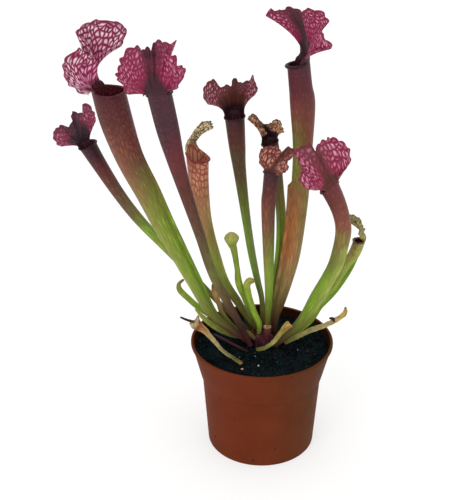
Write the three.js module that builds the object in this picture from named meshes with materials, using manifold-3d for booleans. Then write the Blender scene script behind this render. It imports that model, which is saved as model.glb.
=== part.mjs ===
// A pitcher plant in a nursery pot. Millimetres, +Z up.
// The origin is the middle of the pot's underside, and -Y is the side the plant is usually seen from.
import * as THREE from 'three';
import { mergeVertices } from 'three/addons/utils/BufferGeometryUtils.js';
import Module from 'manifold-3d';

const wasm = await Module();
wasm.setup();

// ---------------------------------------------------------------- driving dimensions

const POT = {
  height: 98,
  rimRadius: 60,
  bandHeight: 32, // the flared band below the lip
  bandFoot: 51.6, // outer radius where the band ends in a small step
  bodyTop: 50.6,
  bodyFoot: 46,
  wall: 1.3,
  lip: 2.4, // width of the rolled lip
  base: 2,
  footHeight: 2.2, // the floor of the pot is raised by this, except at the middle pad
  footWidth: 5,
  padRadius: 12,
  drainRadius: 4,
  drainCircle: 27,
  drains: 6,
  sides: 48,
};
const GAP = 0.3; // clearance between pieces that rest on each other
const SOIL = { top: 90, mound: 1.6, rough: 0.7, rings: 9, sides: 36 };
const CROWN = { x: 1, y: 4, radius: 8.5, foot: 82, shoulder: 96, top: 102 };
const STUB = { x: 4.5, y: -3, foot: 93.5, top: 112, width: 6.4 };

const LEAF_WALL = 1.1;
const HOOD_THICKNESS = 0.95;
const TUBE_COLUMNS = 12;
const TUBE_ROWS = 13;
const NECK_COLUMNS = [4, 5, 6, 7, 8]; // the columns at the back that carry the hood
const HOOD_ROWS = [0, 0.2, 0.48, 0.8, 1]; // how far each row of a hood lies from its neck to its margin
const HOLLOW_FROM = 7; // a tube narrower than this is solid
const RUFFLE = 0.9; // how far the margin of a hood waves to either side
const RUFFLES = 6;

// Each pitcher is a path from the crown to the middle of its mouth, as [x, y, z, width], with the side that its mouth
// faces in degrees from +X, and the margin of its hood from one corner of the neck to the other, as [x, y, z].
const PITCHERS = [
  {
    name: 'pitcher_far_left',
    colour: 0x5a3038,
    faces: -45,
    path: [
      [-6.5, 14, 93.3, 4], [-28.5, 14, 116, 4.5], [-46.5, 16, 136, 5], [-81, 22, 174, 7.5], [-102, 26, 197, 9],
      [-118, 29, 219, 10], [-134, 32, 246, 12.5], [-141, 33, 259, 14.5],
    ],
    wing: 1.6,
    lift: 4,
    neck: 5,
    hood: [
      [-140, 37, 271.5], [-137, 36, 276], [-133.5, 34, 280.5], [-133.5, 33, 285], [-136, 33, 290],
      [-138.5, 32, 294], [-142.5, 32, 294.5], [-142.5, 34, 288.5], [-144.5, 35, 286], [-148.5, 35, 286],
      [-150.5, 34, 288], [-153, 35, 284], [-153, 36, 279], [-156.5, 36, 274], [-160.5, 34, 276.5],
      [-164.5, 33, 274.5], [-167.5, 32, 272], [-168, 32, 267.5], [-166.5, 33, 261.5], [-163.5, 34, 258],
      [-161, 35, 260.5], [-155.5, 36, 262.5], [-152, 36, 260],
    ],
  },
  {
    name: 'pitcher_left',
    colour: 0x6f4438,
    faces: -12,
    path: [
      [-11.5, 2.5, 93.4, 4], [-25.5, 2, 105.5, 6], [-42, 1, 122, 8.5], [-57, 1, 153, 11.5], [-71, 2, 183, 14],
      [-81, 3, 204, 16.5], [-92, 3, 231, 19], [-102, 4, 253, 21], [-108, 4, 270, 23], [-114, 4, 292, 25.5],
      [-118, 4, 312, 25.5],
    ],
    wing: 2.4,
    lift: 3,
    neck: 25,
    hood: [
      [-135, 14, 314.5], [-141.5, 20, 317.5], [-147.5, 23, 324.5], [-144, 23, 332], [-136, 21, 336],
      [-131, 19, 342.5], [-132, 20, 351.5], [-126, 19, 357], [-119, 15, 352.5], [-111.5, 9, 345],
      [-104, 5, 351.5], [-102, 1, 360], [-105, -2, 364.5], [-109, -5, 368.5], [-114.5, -7, 369],
      [-119.5, -9, 371], [-125, -11, 370], [-130, -13, 368.5], [-136, -14, 365], [-137, -14, 362],
      [-133, -12, 360], [-130.5, -9, 353.5], [-128.5, -7, 346], [-132, -9, 345.5], [-135, -12, 350.5],
      [-140, -14, 349], [-143.5, -16, 345], [-147.5, -17, 340.5], [-147.5, -17, 335], [-148, -17, 330],
      [-145.5, -15, 325], [-142.5, -13, 322], [-138, -10, 317], [-132, -8, 313.5],
    ],
  },
  {
    name: 'pitcher_front_left',
    colour: 0x5c333a,
    faces: 80,
    path: [
      [-9.5, -3, 93.3, 4.5], [-20, -5, 117, 6], [-36, -10, 154, 7.5], [-43, -13, 174, 7.5], [-50, -17, 202, 8],
      [-61, -23, 244, 10.5], [-67, -27, 270, 13.5], [-72, -30, 295, 17], [-77, -34, 323, 18],
    ],
    wing: 1.8,
    lift: 3,
    neck: 9,
    hood: [
      [-87.5, -42, 324.5], [-91.5, -44, 328.5], [-94.5, -47, 328], [-98, -48, 328], [-102, -48, 334],
      [-106, -48, 339.5], [-105.5, -47, 342.5], [-103, -46, 348], [-102.5, -44, 352], [-98, -42, 357.5],
      [-91, -38, 359.5], [-88, -40, 356.5], [-85.5, -36, 358], [-81.5, -38, 357], [-79.5, -32, 360.5],
      [-75, -28, 361], [-70.5, -29, 359], [-64, -34, 361.5], [-69.5, -38, 355], [-64.5, -42, 353.5],
      [-62, -45, 348], [-58.5, -47, 347], [-57.5, -49, 342.5], [-61, -49, 336.5], [-64, -48, 331.5],
      [-70, -43, 330],
    ],
  },
  {
    name: 'pitcher_netted',
    colour: 0xa0503f,
    faces: -38,
    path: [
      [-1, 16.5, 92.7, 4.5], [-12, 17, 109, 5], [-20, 18, 123, 7], [-32, 19, 143, 8.5], [-40, 21, 168, 9.5],
      [-45, 22, 188, 10], [-49, 24, 206, 12.5], [-52, 26, 232, 16], [-53, 28, 249, 18.5],
    ],
    wing: 1.8,
    lift: 12,
    neck: 4,
    hood: [
      [-56, 35, 262.5], [-53.5, 35, 265.5], [-47, 33, 271.5], [-41, 31, 275], [-41.5, 30, 280.5],
      [-48, 31, 280], [-52, 32, 276], [-57, 32, 268], [-61, 31, 262],
    ],
  },
  {
    name: 'pitcher_centre',
    colour: 0x55363a,
    faces: -90,
    path: [
      [1, 9, 102, 4], [0, 13, 128, 4.5], [-4, 16, 146, 5.5], [-9, 20, 170, 6.5], [-14, 25, 202, 7.5],
      [-19, 31, 239, 10.5], [-21, 34, 258, 13.5], [-23, 37, 281, 16],
    ],
    wing: 1.4,
    lift: 5,
    neck: 6,
    hood: [
      [-14.5, 41, 291], [-14, 41, 296], [-11, 40, 298], [-8, 38, 299], [-5, 37, 303.5], [-5.5, 36, 307.5],
      [-7, 36, 311], [-9, 34, 317], [-10.5, 36, 312.5], [-13.5, 36, 312], [-18, 36, 310.5], [-20.5, 35, 311.5],
      [-22.5, 33, 315], [-25, 34, 313], [-25.5, 36, 308], [-30, 36, 308.5], [-34, 37, 306], [-37, 36, 310],
      [-39, 36, 313], [-42.5, 36, 312], [-46.5, 36, 308], [-48, 37, 302.5], [-47, 38, 295.5],
      [-43, 39, 291.5], [-40, 40, 293], [-38, 41, 289.5],
    ],
  },
  {
    name: 'pitcher_aged',
    colour: 0x6a6a34,
    faces: -105,
    path: [
      [5, 16, 92.3, 4], [9.5, 17, 136, 5.5], [14, 18, 168, 7], [15, 19, 199, 8], [12.5, 20, 226, 8.5],
      [9, 22, 249, 10.5], [5, 23, 265, 13.5],
    ],
    wing: 1.4,
    lift: 3,
    neck: 4,
    hood: [
      [12, 29, 270.5], [14, 28, 273.5], [16, 27, 272.5], [14.5, 27, 278], [13, 26, 282], [8.5, 26, 283.5],
      [5.5, 27, 280.5], [0, 26, 279.5], [-4, 24, 284.5], [-7.5, 22, 289], [-11.5, 21, 288.5],
      [-12.5, 21, 285.5], [-9, 22, 283], [-5.5, 24, 279], [0, 27, 276.5], [3, 29, 271],
    ],
  },
  {
    name: 'pitcher_front',
    colour: 0x6a3a34,
    faces: 75,
    path: [
      [4.5, 3, 102.3, 4], [5, -2, 135, 6], [5, -5, 152, 7], [4, -9, 185, 9], [3, -13, 226, 11], [4, -15, 241, 11.5],
      [5, -17, 255, 12],
    ],
    wing: 1.4,
    lift: 3,
    neck: 6,
    hood: [
      [-0.5, -23, 259.5], [-2, -24, 264.5], [-4.5, -25, 268.5], [-4, -22, 275.5], [2, -17, 277.5],
      [8, -14, 276], [12.5, -15, 272.5], [17.5, -12, 275], [22.5, -14, 271.5], [19.5, -18, 268],
      [16.5, -21, 267], [17.5, -24, 262.5], [15, -25, 259.5], [11, -25, 257], [7.5, -23, 256.5],
    ],
  },
  {
    name: 'pitcher_tall',
    colour: 0x7d4334,
    faces: 190,
    path: [
      [10, 13, 92.5, 4.5], [11.5, 11, 112, 6], [15, 10, 128, 9], [20, 8, 152, 11.5], [24, 8, 173, 13],
      [27, 8, 200, 13.5], [29, 9, 230, 14.5], [30, 10, 266, 15.5], [29, 11, 300, 19.5], [27, 11, 315, 18],
      [25, 12, 330, 17.5],
    ],
    wing: 3.2,
    wingTop: 0.62,
    lift: 4,
    neck: 22,
    hood: [
      [32, 1, 340], [36, -2, 345.5], [40, -4, 348.5], [43.5, -5, 347.5], [47, -6, 349.5], [45.5, -6, 354],
      [42, -5, 356.5], [42, -6, 361], [42, -7, 365.5], [44, -7, 368.5], [41.5, -6, 372.5], [38, -5, 376],
      [32.5, -3, 377], [28, -2, 377], [25.5, 1, 372], [23.5, -1, 374.5], [19.5, 0, 377], [15, 2, 377],
      [12, 4, 374.5], [8.5, 6, 374.5], [4, 8, 371.5], [3, 8, 374.5], [-0.5, 10, 370.5], [3, 12, 367.5],
      [8, 15, 367], [13.5, 18, 366], [19.5, 22, 364.5], [26, 25, 362], [32, 28, 362], [37.5, 30, 359.5],
      [39.5, 31, 351.5], [40.5, 30, 344], [36.5, 26, 339], [31, 22, 336.5],
    ],
  },
  {
    name: 'pitcher_right',
    colour: 0x6f4a36,
    faces: 120,
    path: [
      [11, -4, 93.3, 4], [32, -8, 119, 8.5], [44, -13, 145, 12], [52, -17, 165, 11.5], [57, -20, 179, 12],
      [60, -23, 197, 12], [61, -25, 211, 12.5], [59, -27, 223, 12.5], [55, -28, 235, 13.5], [49, -30, 248, 15],
    ],
    wing: 1.8,
    lift: 5,
    neck: 7,
    hood: [
      [40.5, -38, 251], [35.5, -41, 251.5], [29, -43, 254], [24, -42, 260.5], [26.5, -40, 265.5],
      [26, -38, 268.5], [22, -32, 274.5], [21.5, -29, 278], [25.5, -27, 280.5], [32, -27, 283.5],
      [36.5, -30, 278], [38.5, -29, 284], [43, -29, 287.5], [48, -30, 289], [55.5, -31, 286.5],
      [61, -32, 280.5], [62.5, -34, 271.5], [60, -35, 267.5], [56.5, -36, 264.5], [54, -36, 261],
    ],
  },
  {
    name: 'pitcher_curled',
    colour: 0x9a9040,
    faces: 195,
    path: [
      [13, 0, 92.8, 3.5], [32, -1, 112, 4], [46, -2, 133, 5], [59, -2, 152, 5.5], [68, -1, 170, 7.5],
      [74, -1, 180, 9.5], [77, -1, 190, 9.5],
    ],
    wing: 1,
    lift: 3,
    neck: 5,
    hood: [
      [77, -6, 195.5], [75, -5, 205.5], [72, -4, 209.5], [67.5, -3, 208.5], [67.5, -1, 213.5], [73, 1, 212],
      [78.5, 2, 206], [81, 3, 197.5],
    ],
  },
];

// Plain leaves and stalks: a path as [x, y, z, width] from the crown outward, how thick the blade is beside its
// width, and the way its upper face looks, in degrees from +X. flat: 1 is a round stalk. A spur is a second path
// that grows out of the first.
const BLADES = [
  {
    name: 'pitcher_young_round',
    colour: 0x9aa83a,
    faces: -90,
    flat: 0.9,
    path: [
      [-3.5, 7.5, 102, 3.5], [-10, 7, 120, 4], [-15, 8, 134, 5], [-19.5, 9, 146.5, 6], [-21, 10, 160, 4.5],
      [-23.5, 11, 176, 5.5], [-25, 12, 181, 7.5], [-25.5, 12, 187, 12.5], [-25.5, 12, 192, 9],
    ],
  },
  {
    name: 'pitcher_young_curl',
    colour: 0x8fb03a,
    faces: -90,
    flat: 0.7,
    path: [
      [-2.5, 1.5, 102.2, 3.5], [-2.5, 0, 112.5, 5], [-7, 0, 124, 5.5], [-10.5, 1, 135, 5.5], [-12.5, 2, 143, 6],
      [-13, 2, 148.5, 6], [-10.5, 2, 152.5, 6], [-7, 2, 151, 4],
    ],
  },
  {
    name: 'leaf_flat_right',
    colour: 0x5fa02c,
    faces: -120,
    flat: 0.22,
    path: [
      [13, 8.5, 93.4, 3.5], [33.5, 10, 106.5, 6], [47.5, 12, 123, 7.5], [59.5, 13, 138, 8.5], [69.5, 13, 155, 8],
      [75.5, 12, 168.5, 6.5], [79.5, 11, 179, 2.5],
    ],
  },
  {
    name: 'leaf_cut_right',
    colour: 0x92ad48,
    faces: -110,
    flat: 0.3,
    path: [[13.5, 4.5, 93.1, 3.5], [37, 4, 110, 6], [48.5, 5, 128, 6], [57, 6, 140.5, 6], [62.5, 6, 148, 6]],
  },
  {
    name: 'leaf_hooked_left',
    colour: 0x9aa83c,
    faces: -60,
    flat: 0.4,
    path: [
      [-9.5, 10.5, 93.7, 3.5], [-25.5, 10, 103.5, 4.5], [-39.5, 12, 111, 5], [-54, 14, 121, 5], [-62.5, 15, 129, 5],
      [-69, 15, 136.5, 5], [-70, 15, 142.5, 4], [-65.5, 16, 146.5, 2.5],
    ],
  },
  {
    name: 'leaf_pointed_left',
    colour: 0x9aac54,
    faces: -60,
    flat: 0.35,
    path: [[-11, 7, 93.8, 3.5], [-25.5, 7.5, 97.5, 4.5], [-39, 8, 104.5, 5], [-49, 8, 113.5, 4], [-56.5, 8, 122.5, 1.5]],
  },
  {
    name: 'leaf_browning',
    colour: 0xa8804c,
    faces: -80,
    flat: 0.35,
    path: [
      [-6, 5, 101.5, 3], [-19.5, 6, 103, 4], [-26, 6, 108.5, 4], [-33.5, 6, 119.5, 4], [-36.5, 6, 129, 4],
      [-39.5, 6, 139.5, 5.5], [-41.5, 6, 147.5, 1.5],
    ],
  },
  {
    name: 'leaf_small_left',
    colour: 0x8fae52,
    faces: -80,
    flat: 0.3,
    path: [[-5.5, -1.5, 98.4, 3], [-10, 0, 102.5, 4], [-14.5, 1, 104.5, 4], [-18.5, 2, 106.5, 1.5]],
  },
  {
    name: 'leaf_small_back',
    colour: 0x45705a,
    faces: -80,
    flat: 0.35,
    path: [[-6, 21, 92.5, 2.5], [-10, 22, 97, 3.5], [-12.5, 22, 101.5, 3.5], [-15, 22, 108.5, 1.5]],
  },
  {
    name: 'dry_leaf_left',
    colour: 0xb98a58,
    faces: -90,
    flat: 0.2,
    spur: [[-58, 15.5, 105.5, 2.4], [-63, 17, 106, 2.2], [-70, 20, 107.5, 1.6]],
    path: [
      [-17, -31, 93.3, 4], [-23, -25, 94.5, 4], [-33, -13, 95, 4], [-43, 1, 99.5, 5], [-49, 9, 102.5, 7.5],
      [-55, 15, 104.5, 12], [-57.5, 19, 106.5, 12],
    ],
  },
  {
    name: 'dry_leaf_right',
    colour: 0xbfa25c,
    faces: -90,
    flat: 0.35,
    spur: [[60, 15.5, 104, 2.6], [57, 13, 102.5, 2.8], [53.5, 11, 104.5, 2]],
    path: [
      [19, 1, 93.1, 3.5], [28, 4, 97, 5], [40, 10, 100, 5.5], [54, 15, 102.5, 5], [65, 18, 107, 5], [71, 19, 112, 4.5],
      [72, 21, 117, 1.5],
    ],
  },
  {
    name: 'dry_leaf_short',
    colour: 0xc2ae5e,
    faces: -90,
    flat: 0.35,
    path: [
      [-5, -10, 93.7, 3.5], [2, -10.5, 95.5, 4], [9, -11, 101.5, 4], [15.5, -12, 112, 4.5], [20, -13, 118.5, 6.5],
      [22.5, -13, 121, 7.5],
    ],
  },
  {
    name: 'stem_bare',
    colour: 0x4c2c30,
    faces: 90,
    flat: 1,
    path: [[-12, -13, 93.2, 2.5], [-21, -4, 93, 2.5], [-31, 4, 94, 2.5], [-41, 12, 95, 2]],
  },
];

// ---------------------------------------------------------------- helpers

const up = new THREE.Vector3(0, 0, 1);
const mix = (a, b, t) => a + (b - a) * t;

// A point of a smooth curve through rows of numbers, with t from 0 to 1.
function along(rows, t) {
  const spans = rows.length - 1;
  const at = Math.min(Math.floor(t * spans), spans - 1);
  const u = t * spans - at;
  const row = (i) => rows[Math.min(Math.max(i, 0), spans)];
  const [a, b, c, d] = [row(at - 1), row(at), row(at + 1), row(at + 2)];
  return b.map((_, k) => 0.5 * (2 * b[k] + (c[k] - a[k]) * u
    + (2 * a[k] - 5 * b[k] + 4 * c[k] - d[k]) * u * u
    + (3 * b[k] - a[k] - 3 * c[k] + d[k]) * u ** 3));
}

// The middle, the width and the three directions of a path at t: along it, to its front and to its side.
function station(path, faces, t) {
  const step = 0.01;
  const [x, y, z, width] = along(path, t);
  const ahead = new THREE.Vector3(...along(path, Math.min(t + step, 1)).slice(0, 3));
  const behind = new THREE.Vector3(...along(path, Math.max(t - step, 0)).slice(0, 3));
  const way = ahead.sub(behind).normalize();
  const angle = THREE.MathUtils.degToRad(faces);
  const front = new THREE.Vector3(Math.cos(angle), Math.sin(angle), 0);
  front.addScaledVector(way, -front.dot(way)).normalize();
  const side = new THREE.Vector3().crossVectors(way, front);
  return { middle: new THREE.Vector3(x, y, z), width, way, front, side };
}

// Collects points and triangles into one closed body.
class Skin {
  constructor() {
    this.points = [];
    this.faces = [];
  }

  add(point) {
    this.points.push(point.x, point.y, point.z);
    return this.points.length / 3 - 1;
  }

  // Two rows of points, each spread evenly from 0 to 1, joined by triangles.
  lace(lower, upper) {
    let i = 0;
    let j = 0;
    const last = [lower.length - 1, upper.length - 1];
    while (i < last[0] || j < last[1]) {
      const nextLow = i < last[0] ? (i + 1) / last[0] : 2;
      const nextUp = j < last[1] ? (j + 1) / last[1] : 2;
      if (nextLow <= nextUp) {
        this.faces.push([lower[i], lower[i + 1], upper[j]]);
        i += 1;
      } else {
        this.faces.push([lower[i], upper[j + 1], upper[j]]);
        j += 1;
      }
    }
  }

  // A fan that closes a ring.
  close(ring, centre) {
    ring.forEach((from, i) => this.faces.push([from, centre, ring[(i + 1) % ring.length]]));
  }

  geometry() {
    const geometry = new THREE.BufferGeometry();
    geometry.setAttribute('position', new THREE.Float32BufferAttribute(this.points, 3));
    geometry.setIndex(this.faces.flat());
    return geometry;
  }
}

function piece(name, geometry, colour, roughness = 0.55) {
  geometry.computeVertexNormals();
  const mesh = new THREE.Mesh(geometry, new THREE.MeshStandardMaterial({ color: colour, roughness, metalness: 0 }));
  mesh.name = name;
  return mesh;
}

function solid(geometry) {
  const bare = new THREE.BufferGeometry();
  bare.setAttribute('position', geometry.getAttribute('position'));
  if (geometry.index) bare.setIndex(geometry.index);
  const welded = mergeVertices(bare, 1e-4);
  return new wasm.Manifold(new wasm.Mesh({
    numProp: 3,
    vertProperties: new Float32Array(welded.getAttribute('position').array),
    triVerts: new Uint32Array(welded.index.array),
  }));
}

function shape(manifold) {
  const { vertProperties, triVerts } = manifold.getMesh();
  const geometry = new THREE.BufferGeometry();
  geometry.setAttribute('position', new THREE.BufferAttribute(vertProperties, 3));
  geometry.setIndex(new THREE.BufferAttribute(triVerts, 1));
  return geometry;
}

// ---------------------------------------------------------------- pot, soil and crown

function turned(profile, sides) {
  const points = profile.map(([radius, height]) => new THREE.Vector2(radius, height));
  return new THREE.LatheGeometry(points, sides).rotateX(Math.PI / 2);
}

function pot() {
  const { height, wall, base } = POT;
  const step = height - POT.bandHeight;
  const body = turned([
    [0, 0],
    [POT.padRadius, 0],
    [POT.padRadius + POT.footHeight, POT.footHeight],
    [POT.bodyFoot - POT.footWidth - POT.footHeight, POT.footHeight],
    [POT.bodyFoot - POT.footWidth, 0],
    [POT.bodyFoot - 0.8, 0],
    [POT.bodyFoot, 0.8],
    [POT.bodyTop, step],
    [POT.bandFoot, step],
    [POT.rimRadius - 1.2, height - 3],
    [POT.rimRadius, height - 2.2],
    [POT.rimRadius, height - 0.6],
    [POT.rimRadius - 0.7, height],
    [POT.rimRadius - POT.lip + 0.5, height],
    [POT.rimRadius - POT.lip, height - 0.8],
    [POT.rimRadius - POT.lip - 0.3, height - 4],
    [POT.bandFoot - wall, step + 1],
    [POT.bodyTop - wall, step - 1],
    [POT.bodyFoot - wall, base + POT.footHeight],
    [0, base + POT.footHeight],
  ], POT.sides);
  let cut = solid(body);
  for (let i = 0; i < POT.drains; i += 1) {
    const angle = (i * 2 * Math.PI) / POT.drains;
    const drill = new THREE.CylinderGeometry(POT.drainRadius, POT.drainRadius, 20, 12).rotateX(Math.PI / 2);
    drill.translate(POT.drainCircle * Math.cos(angle), POT.drainCircle * Math.sin(angle), 0);
    cut = cut.subtract(solid(drill));
  }
  return piece('pot', shape(cut), 0x7c3a24, 0.45);
}

// The inner radius of the pot at a height, less the gap.
function innerRadius(z) {
  const step = POT.height - POT.bandHeight;
  const body = mix(POT.bodyFoot - POT.wall, POT.bodyTop - POT.wall, z / (step - 1));
  const band = mix(POT.bandFoot - POT.wall, POT.rimRadius - POT.lip - 0.3, (z - step - 1) / (POT.bandHeight - 5));
  return Math.min(z < step ? body : band) - GAP - 0.2;
}

// How high the peat stands at a place, with lumps made of a few long waves.
function soilTop(x, y) {
  const radius = Math.hypot(x, y) / POT.rimRadius;
  const lumps = Math.sin(x * 0.31 + 1.3 * Math.sin(y * 0.17)) * Math.cos(y * 0.27 + 0.6);
  return SOIL.top + SOIL.mound * (1 - radius * radius) + SOIL.rough * lumps;
}

function soil() {
  const { rings, sides } = SOIL;
  const skin = new Skin();
  const ring = (radius, height) => Array.from({ length: sides }, (_, i) => {
    const angle = (i * 2 * Math.PI) / sides;
    const [x, y] = [radius * Math.cos(angle), radius * Math.sin(angle)];
    return skin.add(new THREE.Vector3(x, y, height ?? soilTop(x, y)));
  });
  const step = POT.height - POT.bandHeight;
  const floor = POT.base + POT.footHeight + GAP;
  const sidesUp = [floor, step - 2, step + 2].map((z) => ring(innerRadius(z), z));
  const rim = innerRadius(SOIL.top);
  const tops = Array.from({ length: rings }, (_, i) => ring(rim * (1 - i / rings)));
  const rows = [...sidesUp, ...tops];
  for (let i = 0; i + 1 < rows.length; i += 1) {
    skin.lace([...rows[i], rows[i][0]], [...rows[i + 1], rows[i + 1][0]]);
  }
  skin.close(rows[0], skin.add(new THREE.Vector3(0, 0, floor)));
  const peak = skin.add(new THREE.Vector3(0, 0, soilTop(0, 0)));
  rows.at(-1).forEach((from, i, last) => skin.faces.push([from, last[(i + 1) % sides], peak]));
  // The plain hole that the crown stands in.
  const hole = new THREE.CylinderGeometry(CROWN.radius + GAP, CROWN.radius + GAP, 40, 24).rotateX(Math.PI / 2);
  hole.translate(CROWN.x, CROWN.y, CROWN.foot - GAP + 20);
  return piece('soil', shape(solid(skin.geometry()).subtract(solid(hole))), 0x141c1f, 0.95);
}

function rhizome() {
  const { x, y, radius, foot, shoulder, top } = CROWN;
  const knot = turned([
    [0, foot], [radius - 2, foot], [radius, foot + 3], [radius, shoulder],
    [radius - 1.2, top - 2.2], [radius - 3.2, top - 0.4], [0, top],
  ], 16);
  knot.translate(x, y, 0);
  const stub = new THREE.CylinderGeometry(STUB.width * 0.5, STUB.width * 0.38, STUB.top - STUB.foot, 8);
  stub.scale(1, 1, 0.6).rotateX(Math.PI / 2).translate(STUB.x, STUB.y, (STUB.top + STUB.foot) / 2);
  return piece('rhizome', shape(solid(knot).add(solid(stub))), 0x3a2024, 0.7);
}

// ---------------------------------------------------------------- pitchers

// The front wing: a thin keel that is widest below the middle of the tube and dies away at both ends.
function wingAt(pitcher, t) {
  const top = pitcher.wingTop ?? 0.85;
  if (t < 0.08 || t > top) return 0;
  const share = (t - 0.08) / (top - 0.08);
  return pitcher.wing * (pitcher.wingTop ? Math.min(1, share * 3) : Math.sin(Math.PI * share));
}

// A point of the tube's wall: inset is how far inside the outer face it lies.
function tubePoint(pitcher, t, angle, inset) {
  const { middle, width, way, front, side } = station(pitcher.path, pitcher.faces, t);
  const towardFront = Math.cos(angle);
  const back = 0.5 - 0.5 * towardFront;
  const keel = inset === 0 && angle === 0 ? wingAt(pitcher, t) : 0;
  const lip = t > 0.99 && inset === 0 ? 0.7 * (1 - back) : 0;
  const radius = width / 2 - inset + keel + lip;
  const lift = pitcher.lift * back * back * Math.max(0, (t - 0.86) / 0.14);
  return middle.clone()
    .addScaledVector(front, radius * towardFront)
    .addScaledVector(side, radius * Math.sin(angle))
    .addScaledVector(way, lift);
}

// A point of the hood between its neck (t 0) and its margin (t 1), a going from one corner of the neck to the other.
function hoodPoint(pitcher, a, t) {
  const columns = NECK_COLUMNS;
  const first = (columns[0] * 2 * Math.PI) / TUBE_COLUMNS;
  const last = (columns.at(-1) * 2 * Math.PI) / TUBE_COLUMNS;
  const start = tubePoint(pitcher, 1, mix(first, last, a), HOOD_THICKNESS / 2);
  const { way, front } = station(pitcher.path, pitcher.faces, 1);
  const wave = RUFFLE * t * t * Math.sin(2 * Math.PI * RUFFLES * a);
  const margin = new THREE.Vector3(...along(pitcher.hood, a));
  const rise = start.clone().addScaledVector(way, pitcher.neck * (0.25 + 0.75 * Math.sin(Math.PI * a) ** 2));
  return new THREE.QuadraticBezierCurve3(start, rise, margin).getPoint(t).addScaledVector(front, wave);
}

function pitcher(plan) {
  const skin = new Skin();
  const angles = Array.from({ length: TUBE_COLUMNS }, (_, i) => (i * 2 * Math.PI) / TUBE_COLUMNS);
  const levels = Array.from({ length: TUBE_ROWS }, (_, i) => i / (TUBE_ROWS - 1));
  const rowOf = (t, inset) => angles.map((angle) => skin.add(tubePoint(plan, t, angle, inset)));
  const loop = (row) => [...row, row[0]];

  // The outer face of the tube, closed below.
  const outer = levels.map((t) => rowOf(t, 0));
  for (let i = 0; i + 1 < outer.length; i += 1) skin.lace(loop(outer[i]), loop(outer[i + 1]));
  skin.close(outer[0], skin.add(new THREE.Vector3(...plan.path[0].slice(0, 3))));

  // The inner face starts where the tube is wide enough to be hollow.
  const open = levels.filter((t) => along(plan.path, t)[3] > HOLLOW_FROM && t > 0.3);
  const inner = open.filter((t, i) => i % 2 === (open.length - 1) % 2).map((t) => rowOf(t, LEAF_WALL));
  for (let i = 0; i + 1 < inner.length; i += 1) skin.lace(loop(inner[i + 1]), loop(inner[i]));
  const floor = station(plan.path, plan.faces, open[(open.length - 1) % 2]);
  const pit = skin.add(floor.middle.clone().addScaledVector(floor.way, -LEAF_WALL));
  inner[0].forEach((from, i) => skin.faces.push([pit, from, inner[0][(i + 1) % TUBE_COLUMNS]]));

  // The hood, as one sheet, then given its thickness along its own normals.
  const margins = plan.hood.length;
  const counts = [NECK_COLUMNS.length, 9, Math.min(17, margins), margins, margins];
  const sheet = counts.map((count, i) => Array.from({ length: count }, (_, j) => (
    hoodPoint(plan, j / (count - 1), HOOD_ROWS[i])
  )));
  const flat = new Skin();
  const flatRows = sheet.map((row) => row.map((point) => flat.add(point)));
  for (let i = 0; i + 1 < flatRows.length; i += 1) flat.lace(flatRows[i], flatRows[i + 1]);
  const normals = flat.geometry();
  normals.computeVertexNormals();
  const normal = (id) => new THREE.Vector3().fromBufferAttribute(normals.getAttribute('normal'), id);

  const rim = [outer.at(-1), inner.at(-1)];
  const faces = [1, -1].map((way, k) => flatRows.map((row, i) => row.map((id, j) => (
    i === 0
      ? rim[k][NECK_COLUMNS[j]]
      : skin.add(sheet[i][j].clone().addScaledVector(normal(id), way * HOOD_THICKNESS / 2))
  ))));
  for (let i = 0; i + 1 < flatRows.length; i += 1) {
    skin.lace(faces[0][i], faces[0][i + 1]);
    const before = skin.faces.length;
    skin.lace(faces[1][i], faces[1][i + 1]);
    skin.faces.slice(before).forEach((face) => face.reverse());
  }

  // The edge all round: the front lip, then up one side of the hood, along its margin and down the other side.
  const lipColumns = [...Array(TUBE_COLUMNS - NECK_COLUMNS.length + 2).keys()]
    .map((i) => (NECK_COLUMNS.at(-1) + i) % TUBE_COLUMNS);
  const edgeOf = (k) => [
    ...lipColumns.map((column) => rim[k][column]),
    ...faces[k].slice(1, -1).map((row) => row[0]),
    ...faces[k].at(-1),
    ...faces[k].slice(1, -1).reverse().map((row) => row.at(-1)),
  ];
  skin.lace(loop(edgeOf(0)), loop(edgeOf(1)));
  return piece(plan.name, skin.geometry(), plan.colour, 0.5);
}

// ---------------------------------------------------------------- plain leaves and stalks

function limb(path, faces, flat) {
  const skin = new Skin();
  const sides = 8;
  const rowCount = (path.length - 1) * 2 + 1;
  const rows = Array.from({ length: rowCount }, (_, i) => {
    const { middle, width, front, side } = station(path, faces, i / (rowCount - 1));
    const depth = Math.max(width * flat, Math.min(width, 1.3));
    return Array.from({ length: sides }, (__, j) => {
      const angle = (j * 2 * Math.PI) / sides;
      return skin.add(middle.clone()
        .addScaledVector(front, (depth / 2) * Math.cos(angle))
        .addScaledVector(side, (width / 2) * Math.sin(angle)));
    });
  });
  const loop = (row) => [...row, row[0]];
  for (let i = 0; i + 1 < rows.length; i += 1) skin.lace(loop(rows[i]), loop(rows[i + 1]));
  skin.close(rows[0], skin.add(new THREE.Vector3(...path[0].slice(0, 3))));
  const tip = skin.add(new THREE.Vector3(...path.at(-1).slice(0, 3)));
  rows.at(-1).forEach((from, i, last) => skin.faces.push([from, last[(i + 1) % sides], tip]));
  return skin.geometry();
}

function blade(plan) {
  const leaf = limb(plan.path, plan.faces, plan.flat);
  if (!plan.spur) return piece(plan.name, leaf, plan.colour, 0.6);
  const spur = limb(plan.spur, plan.faces, 1);
  return piece(plan.name, shape(solid(leaf).add(solid(spur))), plan.colour, 0.6);
}

// ---------------------------------------------------------------- the plant in its pot

const plant = new THREE.Group();
plant.add(pot(), soil(), rhizome());
PITCHERS.forEach((plan) => plant.add(pitcher(plan)));
BLADES.forEach((plan) => plant.add(blade(plan)));

export default plant;
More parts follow.
